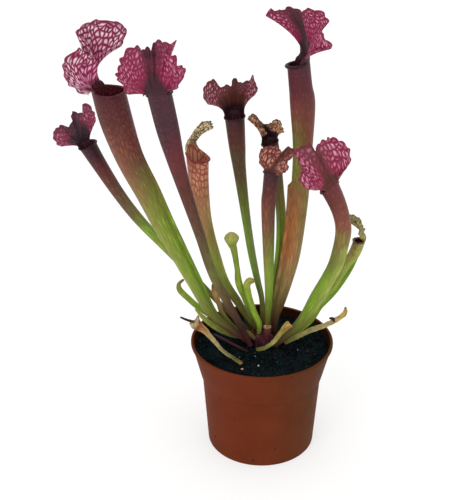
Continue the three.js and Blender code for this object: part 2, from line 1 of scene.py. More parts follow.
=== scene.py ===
# %% [markdown]
# # A potted pitcher plant
#
# The plant is nine grown pitchers, an old one, two young ones and some small or dried leaves, all from
# one knotted crown in dark peat, in a thin plastic nursery pot. The CAD model holds every leaf as a
# plain faceted solid. Here each one is made again, finer, on the same path, so it stays where its solid
# is and only gains its curves, its ruffles and its colours. The CAD model comes first, because its box
# is the size that everything has to keep.

import math

import bpy
import numpy as np
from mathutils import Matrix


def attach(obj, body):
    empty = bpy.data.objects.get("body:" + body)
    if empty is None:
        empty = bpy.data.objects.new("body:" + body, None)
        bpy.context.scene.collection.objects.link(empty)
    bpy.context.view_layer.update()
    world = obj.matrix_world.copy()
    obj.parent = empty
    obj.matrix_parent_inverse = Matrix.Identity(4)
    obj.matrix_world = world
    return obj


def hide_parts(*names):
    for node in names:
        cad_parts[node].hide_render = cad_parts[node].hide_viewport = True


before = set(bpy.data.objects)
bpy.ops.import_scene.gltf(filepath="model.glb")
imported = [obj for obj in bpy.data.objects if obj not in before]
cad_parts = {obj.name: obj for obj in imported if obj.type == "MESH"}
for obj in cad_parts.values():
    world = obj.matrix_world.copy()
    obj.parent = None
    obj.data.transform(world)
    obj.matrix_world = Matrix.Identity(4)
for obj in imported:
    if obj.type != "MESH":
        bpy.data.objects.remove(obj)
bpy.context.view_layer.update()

# %% [markdown]
# ## Colour
#
# Colours are picked as sRGB hex values, the way a screen shows them. Blender mixes light in
# linear values, so one function turns each hex value to linear, and every colour below goes through it.
# The plant's own colours get plain names once, because the same few tones come back on every leaf.

# %% One way from hex to linear, and the plant's tones
def linear(code, alpha=1.0):
    parts = [int(code[i:i + 2], 16) / 255 for i in (1, 3, 5)]
    return [p / 12.92 if p <= 0.04045 else ((p + 0.055) / 1.055) ** 2.4 for p in parts] + [alpha]


def linear_rgb(code):
    return np.array(linear(code)[:3])


TONES = {
    "black_red": "#2c141b", "plum": "#47262f", "ash": "#44313a", "maroon": "#551f2a", "wine": "#66282d",
    "net_dark": "#5f142e", "crimson": "#8a1d42", "berry": "#7c1a3c", "blush": "#dfa3b6", "ruby": "#b23a66",
    "salmon": "#cf9474", "dusk": "#b4616e", "fuchsia": "#861b48", "brick": "#8c2f2c", "fawn": "#ad8058",
    "lining": "#6e2229", "garnet": "#451827", "orchid": "#e297b6", "amber": "#b06f3c",
    "parchment": "#d6ac84", "shell": "#f6dfe6", "red_umber": "#5f3128", "red_brown": "#764031",
    "umber": "#5f4a30", "orange_brown": "#83533a", "orange_tan": "#9a6c42", "khaki": "#7f7439",
    "tan": "#998350", "straw": "#cbb984", "olive": "#717034", "moss": "#67752b", "sage": "#76884e",
    "leaf_green": "#76982a", "lime": "#87963a", "fresh": "#8aa534", "yellow_green": "#9aa544",
    "pale_green": "#aeac62", "blue_green": "#3f5a42", "dry": "#b98f57", "gold": "#c3a552",
    "rust": "#8c4d2b", "dry_pale": "#d9c79a", "dry_dark": "#5c3f2a", "deep_brown": "#33241f",
}
tone = {name: linear_rgb(code) for name, code in TONES.items()}
print("tones", len(tone), "of which crimson in linear is", tone["crimson"].round(3))

# %% [markdown]
# ## Camera
#
# The photo was taken from a little above the plant. The pot's rim is a circle of known size, so the
# ellipse that it makes in the picture gives the camera's height, distance and lens. The lens is long,
# about 77 mm on a 36 mm sensor, which keeps the tall leaves from leaning apart.

# %% Put the camera where the photo was taken
FOCAL_PX, PHOTO_WIDTH_PX, SENSOR_MM = 1000, 467, 36
CAMERA_PLACE = (-0.024, -0.7246, 0.5413)
LOOKS_DOWN_DEG = 26.39

scene = bpy.context.scene
camera_data = bpy.data.cameras.new("photo_camera")
camera_data.sensor_fit = "HORIZONTAL"
camera_data.sensor_width = SENSOR_MM
camera_data.lens = FOCAL_PX / PHOTO_WIDTH_PX * SENSOR_MM
camera = bpy.data.objects.new("photo_camera", camera_data)
camera.location = CAMERA_PLACE
camera.rotation_euler = (math.radians(90 - LOOKS_DOWN_DEG), 0, 0)
scene.collection.objects.link(camera)
scene.camera = camera
print("lens in mm", round(camera_data.lens, 2))

# %% [markdown]
# ## Light and floor
#
# The plant was shot as a catalogue picture: soft light from everywhere, a little more from the upper
# left and in front. A bright even sky with two wide lamps gives that. The photo is a cut-out on white
# with hardly a shadow, so the floor is a pale sheet that glows a little by itself: it looks white and
# keeps only a faint shadow of the pot. It is large enough to fill the view behind the pot. Standard
# colour management keeps the colours as picked.

# %% A helper that adds one node with its settings and links
def add_node(tree, kind, settings=None, **inputs):
    """The names i0, i1 and so on are inputs by number, and any other name is an input's own."""
    made = tree.nodes.new("ShaderNode" + kind)
    for key, value in (settings or {}).items():
        setattr(made, key, value)
    for key, value in inputs.items():
        by_number = key[0] == "i" and key[1:].isdigit()
        socket = made.inputs[int(key[1:]) if by_number else key]
        if isinstance(value, bpy.types.NodeSocket):
            tree.links.new(value, socket)
        else:
            socket.default_value = value
    return made


def new_material(name):
    material = bpy.data.materials.new(name)
    material.use_nodes = True
    return material, material.node_tree, material.node_tree.nodes["Principled BSDF"]


print("node helper ready")

# %% Sky, lamps and floor
SHEET_GLOW = 0.55
PLANT_MIDDLE = (0, 0, 0.18)

scene.view_settings.view_transform = "Standard"
world = bpy.data.worlds.new("studio")
world.use_nodes = True
world.node_tree.nodes["Background"].inputs["Color"].default_value = linear("#ffffff")
world.node_tree.nodes["Background"].inputs["Strength"].default_value = 1.0
scene.world = world

for lamp_name, place, size, power in (
    ("key_softbox", (-0.9, -1.5, 1.7), 1.0, 9),
    ("fill_softbox", (1.3, -0.9, 1.0), 1.2, 2),
):
    lamp_data = bpy.data.lights.new(lamp_name, "AREA")
    lamp_data.energy = power
    lamp_data.size = size
    lamp = bpy.data.objects.new(lamp_name, lamp_data)
    lamp.location = place
    aim = np.array(PLANT_MIDDLE) - np.array(place)
    turn = math.atan2(aim[1], aim[0]) - math.pi / 2
    lamp.rotation_euler = (math.atan2(math.hypot(aim[0], aim[1]), -aim[2]), 0, turn)
    scene.collection.objects.link(lamp)
    print(lamp_name, "at", place, "with", power, "W")

floor_mesh = bpy.data.meshes.new("floor")
floor_mesh.from_pydata([(-6, -6, 0), (6, -6, 0), (6, 6, 0), (-6, 6, 0)], [], [(0, 1, 2, 3)])
floor = bpy.data.objects.new("floor", floor_mesh)
scene.collection.objects.link(floor)
floor_material, _, floor_shader = new_material("pale_paper_sheet")
for key, value in (
    ("Base Color", linear("#b4b4b3")), ("Roughness", 0.9),
    ("Emission Color", linear("#ffffff")), ("Emission Strength", SHEET_GLOW),
):
    floor_shader.inputs[key].default_value = value
floor_mesh.materials.append(floor_material)
print("floor is 12 m wide")

# %% [markdown]
# ## Meshes from grids
#
# Every surface here is a grid of points with a formula behind it: rows along the leaf and columns
# around it. One small class gathers such grids for a piece, with three things painted on each point:
# the ground colour, the vein colour, and where the point lies in the two nets of veins. The shader
# reads them later. They could be modelled by hand, but with a formula every ruffle has a size that can
# be read and changed.

# %% A class that gathers grids into one piece
FIELDS = (
    ("ground", "FLOAT_COLOR", "color", 4), ("vein", "FLOAT_COLOR", "color", 4),
    ("net", "FLOAT_COLOR", "color", 4), ("ribs", "FLOAT_VECTOR", "vector", 3),
)


class Grids:
    def __init__(self):
        self.points, self.faces = [], []
        self.paint = {field[0]: [] for field in FIELDS}
        self.count = 0

    def add(self, points, ground, vein, net, ribs=None, wrap=False, flip=False):
        """points: rows x columns x 3, in mm. ground: its colour, and the width of the net's lines.
        vein: its colour and strength. net: the place in the fine net, counted in cells, and the share of
        closed cells. ribs: the place in the thick net, the same as in the fine one if it isn't given."""
        rows, columns = shape = points.shape[:2]
        ids = np.arange(rows * columns).reshape(shape) + self.count
        if wrap:
            ids = np.concatenate([ids, ids[:, :1]], axis=1)
        quads = np.stack([ids[:-1, :-1], ids[:-1, 1:], ids[1:, 1:], ids[1:, :-1]], axis=-1).reshape(-1, 4)
        self.faces.append(quads[:, ::-1] if flip else quads)
        self.points.append(points.reshape(-1, 3))
        net = np.broadcast_to(net, shape + (np.shape(net)[-1],))
        ribs = net[..., :3] if ribs is None else ribs
        net = np.concatenate([net, np.zeros(shape + (4 - net.shape[-1],))], axis=-1)
        for (key, _, _, width), values in zip(FIELDS, (ground, vein, net, ribs)):
            self.paint[key].append(np.broadcast_to(values, shape + (width,)).reshape(-1, width))
        self.count += rows * columns

    def piece(self, name, material, node):
        """Makes the mesh of all grids and puts it in the place of the CAD node."""
        mesh = bpy.data.meshes.new(name)
        points = np.concatenate(self.points) / 1000
        mesh.from_pydata(points.tolist(), [], np.concatenate(self.faces).tolist())
        for key, form, field, _ in FIELDS:
            values = np.concatenate(self.paint[key]).astype(np.float32)
            mesh.attributes.new(key, form, "POINT").data.foreach_set(field, values.ravel())
        mesh.polygons.foreach_set("use_smooth", [True] * len(mesh.polygons))
        mesh.materials.append(material)
        mesh.validate()
        made = bpy.data.objects.new(name, mesh)
        scene.collection.objects.link(made)
        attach(made, "root")
        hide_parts(node)
        print(name, "has", len(mesh.polygons), "faces")
        return made


# %% [markdown]
# ## The path of a leaf
#
# A leaf is a smooth path with a width. The path is the same curve as in the CAD source, through the
# same few points, so the fine leaf lies where its plain solid is. At each place the leaf has a way
# along, a front, where a pitcher's mouth looks, and a side. A bevelled curve object could follow the
# path too, but the shape of its section would stay the same from the stalk to the mouth.

# %% Smooth curve and the three directions along it
def along(rows, t):
    rows = np.asarray(rows, float)
    t = np.clip(np.asarray(t, float), 0, 1)
    spans = len(rows) - 1
    at = np.minimum((t * spans).astype(int), spans - 1)
    u = (t * spans - at)[..., None]
    a, b, c, d = (rows[np.clip(at + k, 0, spans)] for k in (-1, 0, 1, 2))
    return 0.5 * (2 * b + (c - a) * u + (2 * a - 5 * b + 4 * c - d) * u**2 + (3 * b - a - 3 * c + d) * u**3)


def unit(vectors):
    return vectors / np.linalg.norm(vectors, axis=-1, keepdims=True)


def station(path, faces, t):
    """Where the path is at t, its width there, and the directions along, to the front and to the side."""
    here = along(path, t)
    after, before = along(path, np.minimum(t + 0.01, 1)), along(path, np.maximum(t - 0.01, 0))
    way = unit((after - before)[..., :3])
    angle = math.radians(faces)
    front = np.broadcast_to([math.cos(angle), math.sin(angle), 0.0], way.shape)
    front = unit(front - (front * way).sum(-1, keepdims=True) * way)
    return here[..., :3], here[..., 3], way, front, np.cross(way, front)


def length_along(path, t):
    points = along(path, t)[:, :3]
    return np.concatenate([[0], np.cumsum(np.linalg.norm(np.diff(points, axis=0), axis=1))])


print("a unit vector has length", float(np.linalg.norm(unit(np.array([3.0, 4.0, 0.0])))))

# %% [markdown]
# A few small tools do the rest: ramps of colour, soft steps, seeded unevenness, points on a turned
# shape, and a fourth value beside a colour. Each is used on the leaves, the pot and the peat alike.

# %% Ramps, steps, waves and turned points
def blend(stops, t):
    """A ramp: stops are (t, tone name or number), and t is an array."""
    places = [stop[0] for stop in stops]
    values = np.array([tone[stop[1]] if isinstance(stop[1], str) else [stop[1]] for stop in stops])
    mixed = np.stack([np.interp(t, places, column) for column in values.T], axis=-1)
    return mixed if values.shape[1] == 3 else mixed[..., 0]


def smooth(low, high, x):
    u = np.clip((x - low) / (high - low), 0, 1)
    return u * u * (3 - 2 * u)


def waves(x, y, seed, octaves=3):
    """Soft seeded unevenness from a few crossing waves, about -1 to 1."""
    draw = np.random.default_rng(seed)
    total = np.zeros(np.broadcast(x, y).shape)
    for k in range(octaves):
        kx, ky, phase = draw.uniform(-1, 1), draw.uniform(-1, 1), draw.uniform(0, 6.28)
        total = total + np.sin(2**k * (kx * x + ky * y) + phase + np.sin(2**k * (ky * x - kx * y))) / 1.4**k
    return total / 2


def points_of(x, y, z):
    return np.stack(np.broadcast_arrays(x, y, z), axis=-1)


def turned(radius, z, turn, x=0, y=0):
    return points_of(x + radius * np.cos(turn), y + radius * np.sin(turn), z)


def full_turn(count):
    return np.linspace(0, 2 * math.pi, count + 1)[:-1]


def with_fourth(colour, value):
    return np.concatenate([colour, np.broadcast_to(value, colour.shape[:-1] + (1,))], axis=-1)


print("halfway from lime to tan is", blend([(0, "lime"), (1, "tan")], np.array([0.5])).round(3))

# %% [markdown]
# ## The finish of a living leaf
#
# A pitcher is a leaf with a waxy cuticle over a net of veins. Two nets lie on it: thick ribs that run
# the way the leaf grows, and a finer net between them that closes the pale windows. Both are drawn as
# the edges between the cells of a flat Voronoi pattern, which branch and meet as real veins do. The
# places in the pattern come from the mesh, in cells, so one material serves the long stripes of a tube
# and the round windows of a hood. The cells are about 2 to 4 mm wide, as on the real leaf. Without its
# wax a leaf would look like paper: the cuticle gives it a satin gloss, with a typical refractive index
# of 1.45. The veins could be an image, but a pattern stays sharp at any distance and needs no file.

# %% The last links that every finish shares
TIMES, TIMES_PLUS = {"operation": "MULTIPLY"}, {"operation": "MULTIPLY_ADD"}
ABOVE, LARGER = {"operation": "GREATER_THAN"}, {"operation": "MAXIMUM"}
SCALED, MIXED = {"operation": "SCALE"}, {"data_type": "RGBA"}
SOFT = {"interpolation_type": "SMOOTHSTEP"}
CELLS = {"voronoi_dimensions": "2D"}
CELL_EDGES = {"voronoi_dimensions": "2D", "feature": "DISTANCE_TO_EDGE"}


def painted(tree, key):
    return add_node(tree, "Attribute", {"attribute_name": key}).outputs


def finish_surface(tree, shader, colour, gloss, roughness, height, bump, index, specular):
    """roughness: from and to, with the gloss pattern. bump: a strength and a depth in metres."""
    tree.links.new(colour, shader.inputs["Base Color"])
    rough = add_node(tree, "MapRange", Value=gloss, i1=0.3, i2=0.7, i3=roughness[0], i4=roughness[1])
    tree.links.new(rough.outputs[0], shader.inputs["Roughness"])
    relief = add_node(tree, "Bump", Strength=bump[0], Distance=bump[1], Height=height)
    tree.links.new(relief.outputs[0], shader.inputs["Normal"])
    shader.inputs["IOR"].default_value = index
    shader.inputs["Specular IOR Level"].default_value = specular


print("shared links ready")

# %% Waxy leaf over netted veins
def leaf_material(name, roughness, coat, rib_width):
    material, tree, shader = new_material(name)
    ground, vein, net, ribs = (painted(tree, field[0]) for field in FIELDS)

    # The two nets: the width of the fine lines is painted on the mesh, beside the ground's colour.
    drift = add_node(tree, "TexNoise", Vector=net["Vector"], Scale=0.9, Detail=2.0)
    shift = add_node(tree, "VectorMath", TIMES_PLUS,
                     i0=drift.outputs["Color"], i1=(0.5, 0.5, 0.5), i2=net["Vector"])
    fine = add_node(tree, "TexVoronoi", CELL_EDGES, Vector=shift.outputs[0], Scale=1.0, Randomness=0.95)
    thick = add_node(tree, "TexVoronoi", CELL_EDGES, Vector=ribs["Vector"], Scale=1.0, Randomness=0.85)
    core = add_node(tree, "Math", TIMES, i0=ground["Alpha"], i1=0.45)
    wide = add_node(tree, "Math", TIMES, i0=ground["Alpha"], i1=1.6)
    fine_line = add_node(tree, "MapRange", SOFT, Value=fine.outputs["Distance"],
                         i1=core.outputs[0], i2=wide.outputs[0], i3=1.0, i4=0.0)
    thick_line = add_node(tree, "MapRange", SOFT, Value=thick.outputs["Distance"],
                          i1=0.0, i2=rib_width, i3=1.0, i4=0.0)
    line = add_node(tree, "Math", LARGER, i0=fine_line.outputs[0], i1=thick_line.outputs[0])
    amount = add_node(tree, "Math", TIMES, i0=line.outputs[0], i1=vein["Alpha"])

    # The ground between them is mottled. Some cells stay closed, each with a share of the vein's colour.
    cell = add_node(tree, "TexVoronoi", CELLS, Vector=shift.outputs[0], Scale=1.0, Randomness=0.95)
    closed = add_node(tree, "Math", TIMES, i0=cell.outputs["Color"], i1=net["Alpha"])
    flush = add_node(tree, "VectorMath", TIMES_PLUS,
                     i0=vein["Color"], i1=(1.5, 1.3, 1.4), i2=(0.03, 0.005, 0.012))
    mottle = add_node(tree, "TexNoise", Vector=net["Vector"], Scale=2.2, Detail=4.0)
    shade = add_node(tree, "MapRange", Value=mottle.outputs[0], i1=0.25, i2=0.75, i3=0.86, i4=1.13)
    mottled = add_node(tree, "VectorMath", SCALED, i0=ground["Color"], Scale=shade.outputs[0])
    filled = add_node(tree, "Mix", MIXED, i0=closed.outputs[0], i6=mottled.outputs[0], i7=flush.outputs[0])

    # Small pale spots stand in the middle of about half of the cells.
    middle = add_node(tree, "MapRange", SOFT, Value=cell.outputs["Distance"],
                      i1=0.08, i2=0.26, i3=0.42, i4=0.0)
    chosen = add_node(tree, "Math", ABOVE, i0=cell.outputs["Color"], i1=0.5)
    spot = add_node(tree, "Math", TIMES, i0=middle.outputs[0], i1=chosen.outputs[0])
    pale = add_node(tree, "VectorMath", TIMES_PLUS,
                    i0=filled.outputs[2], i1=(1.7, 1.6, 1.6), i2=(0.05, 0.02, 0.025))
    spotted = add_node(tree, "Mix", MIXED, i0=spot.outputs[0], i6=filled.outputs[2], i7=pale.outputs[0])

    colour = add_node(tree, "Mix", MIXED, i0=amount.outputs[0], i6=spotted.outputs[2], i7=vein["Color"])
    finish_surface(tree, shader, colour.outputs[2], mottle.outputs[0], (roughness - 0.06, roughness + 0.08),
                   line.outputs[0], (0.35, 0.0004), 1.45, 0.2)
    shader.inputs["Coat Weight"].default_value = coat
    shader.inputs["Coat Roughness"].default_value = 0.35
    return material


living_leaf = leaf_material("living_leaf_waxy_cuticle_over_netted_veins", 0.46, 0.04, 0.07)
print("living leaf finish has", len(living_leaf.node_tree.nodes), "nodes")

# %% [markdown]
# ## The grown pitchers
#
# Each pitcher is one leaf: a stalk that widens into a tube, a thin wing down the front, a rolled lip,
# and a back that rises through a neck into a ruffled hood. The plans below follow the CAD source, in
# millimetres: a path of x, y, z and width, where the mouth looks, and the margin of the hood from one
# corner of the neck to the other. They were measured on the photo, leaf by leaf, so they are data that
# no rule could give. A rim or the foot of a hood lies up to 4 mm off the source where a closer look
# asked for it. The colours are ramps of the tones above: the tube's left and right sides, and its
# veins, with how strongly those show.

# %% A short way to write a plan
def rows_of(text):
    """Rows of numbers, parted by commas."""
    return [[float(number) for number in row.split()] for row in text.split(",")]


def stops_of(text):
    """A ramp's stops, parted by commas: per cent of the leaf's length, then a tone's name or a number."""
    pairs = [stop.split() for stop in text.split(",")]
    return [(int(place) / 100, value if value in TONES else float(value)) for place, value in pairs]


USUAL = {
    "grip": 60,  # half the angle of the mouth that the hood's foot takes, in degrees
    "sides": 0.25,  # the neck's height at the corners of the hood, against its middle
    "frill": 0.5,  # size in mm of the scallops along the margin
    "centre": 0,  # width of the hood's dark heart, whose windows stay closed
    "net_tone": "berry", "lip_tone": "black_red", "throat_line": "black_red",
}


def pitcher(name, **plan):
    for key in ("path", "hood"):
        plan[key] = rows_of(plan[key])
    for key in ("left", "right", "vein", "strength"):
        plan[key] = stops_of(plan[key])
    return {"name": name, **USUAL, **plan}


print("a ramp reads as", stops_of("0 maroon, 50 umber"))

# %% Plans of the pitchers
PITCHERS = [
    pitcher(
        "pitcher_far_left",
        faces=-45, wing=1.6, lift=4, neck=5, lip=0.8, veins=18, throat="garnet", neck_tone="ash",
        window="ruby", edge="blush", net_width=0.24, cell=2.8, dim=0.7, opens=(0.42, 0.75), centre=0.3,
        path="""-6.5 14 93.3 4, -28.5 14 116 4.5, -46.5 16 136 5, -81 22 174 7.5, -102 26 197 9,
            -118 29 219 10, -134 32 246 12.5, -141 33 259 14.5""",
        hood="""-140 37 271.5, -137 36 276, -133.5 34 280.5, -133.5 33 285, -136 33 290, -138.5 32 294,
            -142.5 32 294.5, -142.5 34 288.5, -144.5 35 286, -148.5 35 286, -150.5 34 288, -153 35 284,
            -153 36 279, -156.5 36 274, -160.5 34 276.5, -164.5 33 274.5, -167.5 32 272, -168 32 267.5,
            -166.5 33 261.5, -163.5 34 258, -161 35 260.5, -155.5 36 262.5, -152 36 260""",
        left="""0 maroon, 12 umber, 30 moss, 42 lime, 52 leaf_green, 60 umber, 70 umber, 80 red_umber,
            90 plum, 100 plum""",
        right="""0 maroon, 20 olive, 40 lime, 52 leaf_green, 61 olive, 70 umber, 80 red_umber, 90 black_red,
            100 black_red""",
        vein="0 maroon, 50 umber, 80 maroon, 100 black_red",
        strength="0 0.4, 40 0.25, 80 0.45, 100 0.4",
    ),
    pitcher(
        "pitcher_left",
        faces=-12, wing=2.4, lift=6.5, neck=25, bend=(0.667, 0.075, 15), frill=0.8, lip=0.9,
        lip_tone="maroon", veins=34, throat="lining", neck_tone="maroon", window="orchid", edge="shell",
        net_tone="fuchsia", net_width=0.21, cell=4.3, dim=0.2, opens=(0.02, 0.3),
        path="""-11.5 2.5 93.4 4, -25.5 2 105.5 6, -42 1 122 8.5, -57 1 153 11.5, -71 2 183 14,
            -81 3 204 16.5, -92 3 231 19, -102 4 253 21, -108 4 270 23, -114 4 292 25.5, -118 4 312 25.5""",
        hood="""-135 14 314.5, -141.5 20 317.5, -147.5 23 324.5, -144 23 332, -136 21 336, -131 19 342.5,
            -132 20 351.5, -126 19 357, -119 15 352.5, -111.5 9 345, -104 5 351.5, -102 1 360,
            -105 -2 364.5, -109 -5 368.5, -114.5 -7 369, -119.5 -9 371, -125 -11 370, -130 -13 368.5,
            -136 -14 365, -137 -14 362, -132.5 -12 360, -130.5 -9 353.5, -129.5 -6 345, -133 -9 346,
            -134.5 -12 349.5, -136.5 -14 351, -143.5 -16 345, -147.5 -17 340.5, -147.5 -17 335,
            -148 -17 330, -145.5 -15 325, -142.5 -13 322, -138 -10 317, -132 -8 313.5""",
        left="""0 maroon, 10 umber, 20 olive, 30 lime, 50 lime, 60 khaki, 70 orange_brown, 80 orange_brown,
            90 red_umber, 100 maroon""",
        right="""0 maroon, 10 umber, 20 moss, 30 leaf_green, 52 leaf_green, 62 moss, 72 umber, 80 red_brown,
            90 red_umber, 100 maroon""",
        vein="0 maroon, 30 umber, 60 orange_brown, 80 maroon, 100 black_red",
        strength="0 0.5, 30 0.3, 60 0.5, 80 0.55, 100 0.4",
    ),
    pitcher(
        "pitcher_front_left",
        faces=80, wing=1.8, lift=3, neck=9, frill=1.1, lip=0.9, veins=26, neck_tone="plum", window="ruby",
        edge="orchid", net_width=0.25, cell=2.7, dim=0.85, opens=(0.28, 0.62), centre=0.14,
        path="""-9.5 -3 93.3 4.5, -20 -5 117 6, -36 -10 154 7.5, -43 -13 174 7.5, -50 -17 202 8,
            -61 -23 244 10.5, -67 -27 270 13.5, -72 -30 295 17, -77 -34 323 18""",
        hood="""-87.5 -42 324.5, -91.5 -44 328.5, -94.5 -47 328, -98 -48 328, -102 -48 334, -106 -48 339.5,
            -105.5 -47 342.5, -103 -46 348, -102.5 -44 352, -98 -42 357.5, -91 -38 359.5, -88 -40 356.5,
            -85.5 -36 358, -81.5 -38 357, -79.5 -32 360.5, -75 -28 361, -70.5 -29 359, -64 -34 361.5,
            -69.5 -38 355, -64.5 -42 353.5, -62 -45 348, -58.5 -47 347, -57.5 -49 342.5, -61 -49 336.5,
            -64 -48 331.5, -70 -43 330""",
        left="""0 maroon, 10 deep_brown, 20 umber, 30 khaki, 40 umber, 50 umber, 60 red_umber, 75 wine,
            88 plum, 100 plum""",
        right="""0 maroon, 10 deep_brown, 20 umber, 32 moss, 42 olive, 50 umber, 62 red_umber, 78 wine,
            90 plum, 100 plum""",
        vein="0 maroon, 40 deep_brown, 100 black_red",
        strength="0 0.4, 40 0.4, 70 0.3, 100 0.3",
    ),
    pitcher(
        "pitcher_netted",
        faces=-38, wing=1.8, lift=12, neck=4, lip=0.9, lip_tone="brick", veins=26, throat="salmon",
        throat_line="brick", neck_tone="straw", window="dry_pale", net_tone="dry_dark", net_width=0.09,
        cell=3, dim=0.2, opens=(0, 0.4),
        path="""-1 16.5 92.7 4.5, -12 17 109 5, -20 18 123 7, -32 19 143 8.5, -40 21 168 9.5, -45 22 188 10,
            -49 24 206 12.5, -52 26 232 16, -53 28 249 18.5""",
        hood="""-56 35 262.5, -53.5 35 265.5, -47 33 271.5, -41 31 275, -41.5 30 280.5, -48 31 280,
            -52 32 276, -57 32 268, -61 31 262""",
        left="0 maroon, 10 olive, 30 olive, 50 lime, 60 tan, 70 fawn, 80 fawn, 90 salmon, 100 red_brown",
        right="0 maroon, 10 olive, 30 moss, 42 lime, 62 khaki, 72 tan, 82 fawn, 92 salmon, 100 salmon",
        vein="0 umber, 60 orange_brown, 85 brick, 100 brick",
        strength="0 0.3, 60 0.18, 76 0.3, 86 0.75, 100 0.95",
    ),
    pitcher(
        "pitcher_centre",
        faces=-90, wing=1.4, lift=5, neck=6, grip=96, sides=1.4, lip=0.6, veins=20, throat="garnet",
        neck_tone="black_red", heart="red_umber", window="dusk", edge="blush", net_tone="wine",
        net_width=0.24, cell=2.9, dim=0.6, opens=(0.42, 0.75), centre=0.2,
        path="""1 9 102 4, 0 13 128 4.5, -4 16 146 5.5, -9 20 170 6.5, -14 25 202 7.5, -19 31 239 10.5,
            -21 34 258 13.5, -23 37 281 16""",
        hood="""-14.5 41 291, -14 41 296, -11 40 298, -8 38 299, -5 37 303.5, -5.5 36 307.5, -7 36 311,
            -9 34 317, -10.5 36 312.5, -13.5 36 312, -18 36 310.5, -20.5 35 311.5, -22.5 33 315, -25 34 313,
            -25.5 36 308, -30 36 308.5, -34 37 306, -37 36 310, -39 36 313, -42.5 36 312, -46.5 36 308,
            -48 37 302.5, -47 38 295.5, -43 39 291.5, -40 40 293, -38 41 289.5""",
        left="""0 maroon, 10 olive, 20 moss, 40 leaf_green, 52 leaf_green, 60 moss, 70 umber, 80 umber,
            90 red_umber, 100 plum""",
        right="""0 maroon, 10 olive, 20 sage, 50 sage, 60 moss, 70 umber, 80 umber, 90 red_umber,
            100 black_red""",
        vein="0 maroon, 40 moss, 70 deep_brown, 100 black_red",
        strength="0 0.3, 50 0.25, 100 0.4",
    ),
    pitcher(
        "pitcher_aged",
        faces=-105, wing=1.4, lift=3, neck=4, grip=92, sides=1.2, lip=0.5, veins=16, throat="deep_brown",
        neck_tone="black_red", window="salmon", edge="parchment", net_tone="red_umber", net_width=0.11,
        cell=2.8, dim=0.25, opens=(0.25, 0.6), centre=0.12,
        path="""5 16 92.3 4, 9.5 17 136 5.5, 14 18 168 7, 15 19 199 8, 12.5 20 226 8.5, 9 22 249 10.5,
            5 23 265 13.5""",
        hood="""12 29 270.5, 14 28 273.5, 16 27 272.5, 14.5 27 278, 13 26 282, 8.5 26 283.5, 5.5 27 280.5,
            0 26 279.5, -4 24 284.5, -7.5 22 289, -11.5 21 288.5, -12.5 21 285.5, -9 22 283, -5.5 24 279,
            0 27 276.5, 3 29 271""",
        left="""0 maroon, 12 moss, 40 leaf_green, 52 moss, 62 umber, 75 red_umber, 90 red_umber,
            100 black_red""",
        right="0 maroon, 12 moss, 50 leaf_green, 62 khaki, 75 umber, 90 red_umber, 100 black_red",
        vein="0 maroon, 50 moss, 100 black_red",
        strength="0 0.3, 60 0.3, 100 0.5",
    ),
    pitcher(
        "pitcher_front",
        faces=75, wing=1.4, lift=3, neck=6, lip=0.8, veins=18, neck_tone="red_umber", window="parchment",
        edge="salmon", net_tone="wine", net_width=0.19, cell=3.2, dim=0.65, opens=(0.15, 0.6), centre=0.08,
        path="""4.5 3 102.3 4, 5 -2 135 6, 5 -5 152 7, 4 -9 185 9, 3 -13 226 11, 4 -15 241 11.5,
            5 -17 255 12""",
        hood="""-0.5 -23 259.5, -2 -24 264.5, -4.5 -25 268.5, -4 -22 275.5, 2 -17 277.5, 8 -14 276,
            12.5 -15 272.5, 17.5 -12 275, 22.5 -14 271.5, 19.5 -18 268, 16.5 -21 267, 17.5 -24 262.5,
            15 -25 259.5, 11 -25 257, 7.5 -23 256.5""",
        left="""0 maroon, 10 moss, 22 leaf_green, 40 lime, 50 khaki, 60 orange_brown, 70 red_brown,
            80 red_umber, 100 plum""",
        right="""0 maroon, 10 moss, 22 leaf_green, 42 leaf_green, 52 moss, 60 umber, 70 red_umber,
            80 red_umber, 100 black_red""",
        vein="0 maroon, 40 olive, 60 maroon, 100 black_red",
        strength="0 0.4, 35 0.2, 60 0.4, 100 0.4",
    ),
    pitcher(
        "pitcher_tall",
        faces=190, wing=3.2, wing_top=0.62, lift=2.5, neck=22, grip=95, frill=0.9, lip=1.2, veins=24,
        throat="garnet", neck_tone="plum", window="ruby", edge="orchid", net_width=0.24, cell=2.6, dim=0.6,
        opens=(0.25, 0.55), centre=0.1,
        path="""10 13 92.5 4.5, 11.5 11 112 6, 15 10 128 9, 20 8 152 11.5, 24 8 173 13, 27 8 200 13.5,
            29 9 230 14.5, 30 10 266 15.5, 29 11 300 19.5, 27 11 315 18, 25 12 332 17.5""",
        hood="""32 1 340, 36 -2 345.5, 40 -4 348.5, 43.5 -5 347.5, 47 -6 349.5, 45.5 -6 354, 42 -5 356.5,
            42 -6 361, 42 -7 365.5, 44 -7 368.5, 41.5 -6 372.5, 38 -5 376, 32.5 -3 377, 28 -2 377,
            25.5 1 372, 23.5 -1 374.5, 19.5 0 377, 15 2 377, 12 4 374.5, 8.5 6 374.5, 4 8 371.5, 3 8 374.5,
            -0.5 10 370.5, 3 12 367.5, 8 15 367, 13.5 18 366, 19.5 22 364.5, 26 25 362, 32 28 362,
            37.5 30 359.5, 39.5 31 351.5, 40.5 30 344, 36.5 26 339, 31 22 336.5""",
        left="""0 maroon, 10 umber, 20 olive, 30 tan, 42 amber, 50 amber, 60 orange_tan, 66 lime, 72 olive,
            78 red_brown, 84 wine, 90 maroon, 100 maroon""",
        right="""0 black_red, 10 umber, 20 umber, 30 tan, 42 tan, 52 khaki, 62 khaki, 72 red_brown,
            80 red_umber, 90 maroon, 100 plum""",
        vein="0 maroon, 40 orange_brown, 65 red_brown, 100 black_red",
        strength="0 0.5, 50 0.5, 80 0.4, 100 0.3",
    ),
    pitcher(
        "pitcher_right",
        faces=120, wing=1.8, lift=5, neck=7, frill=0.9, lip=0.8, lip_tone="maroon", veins=22,
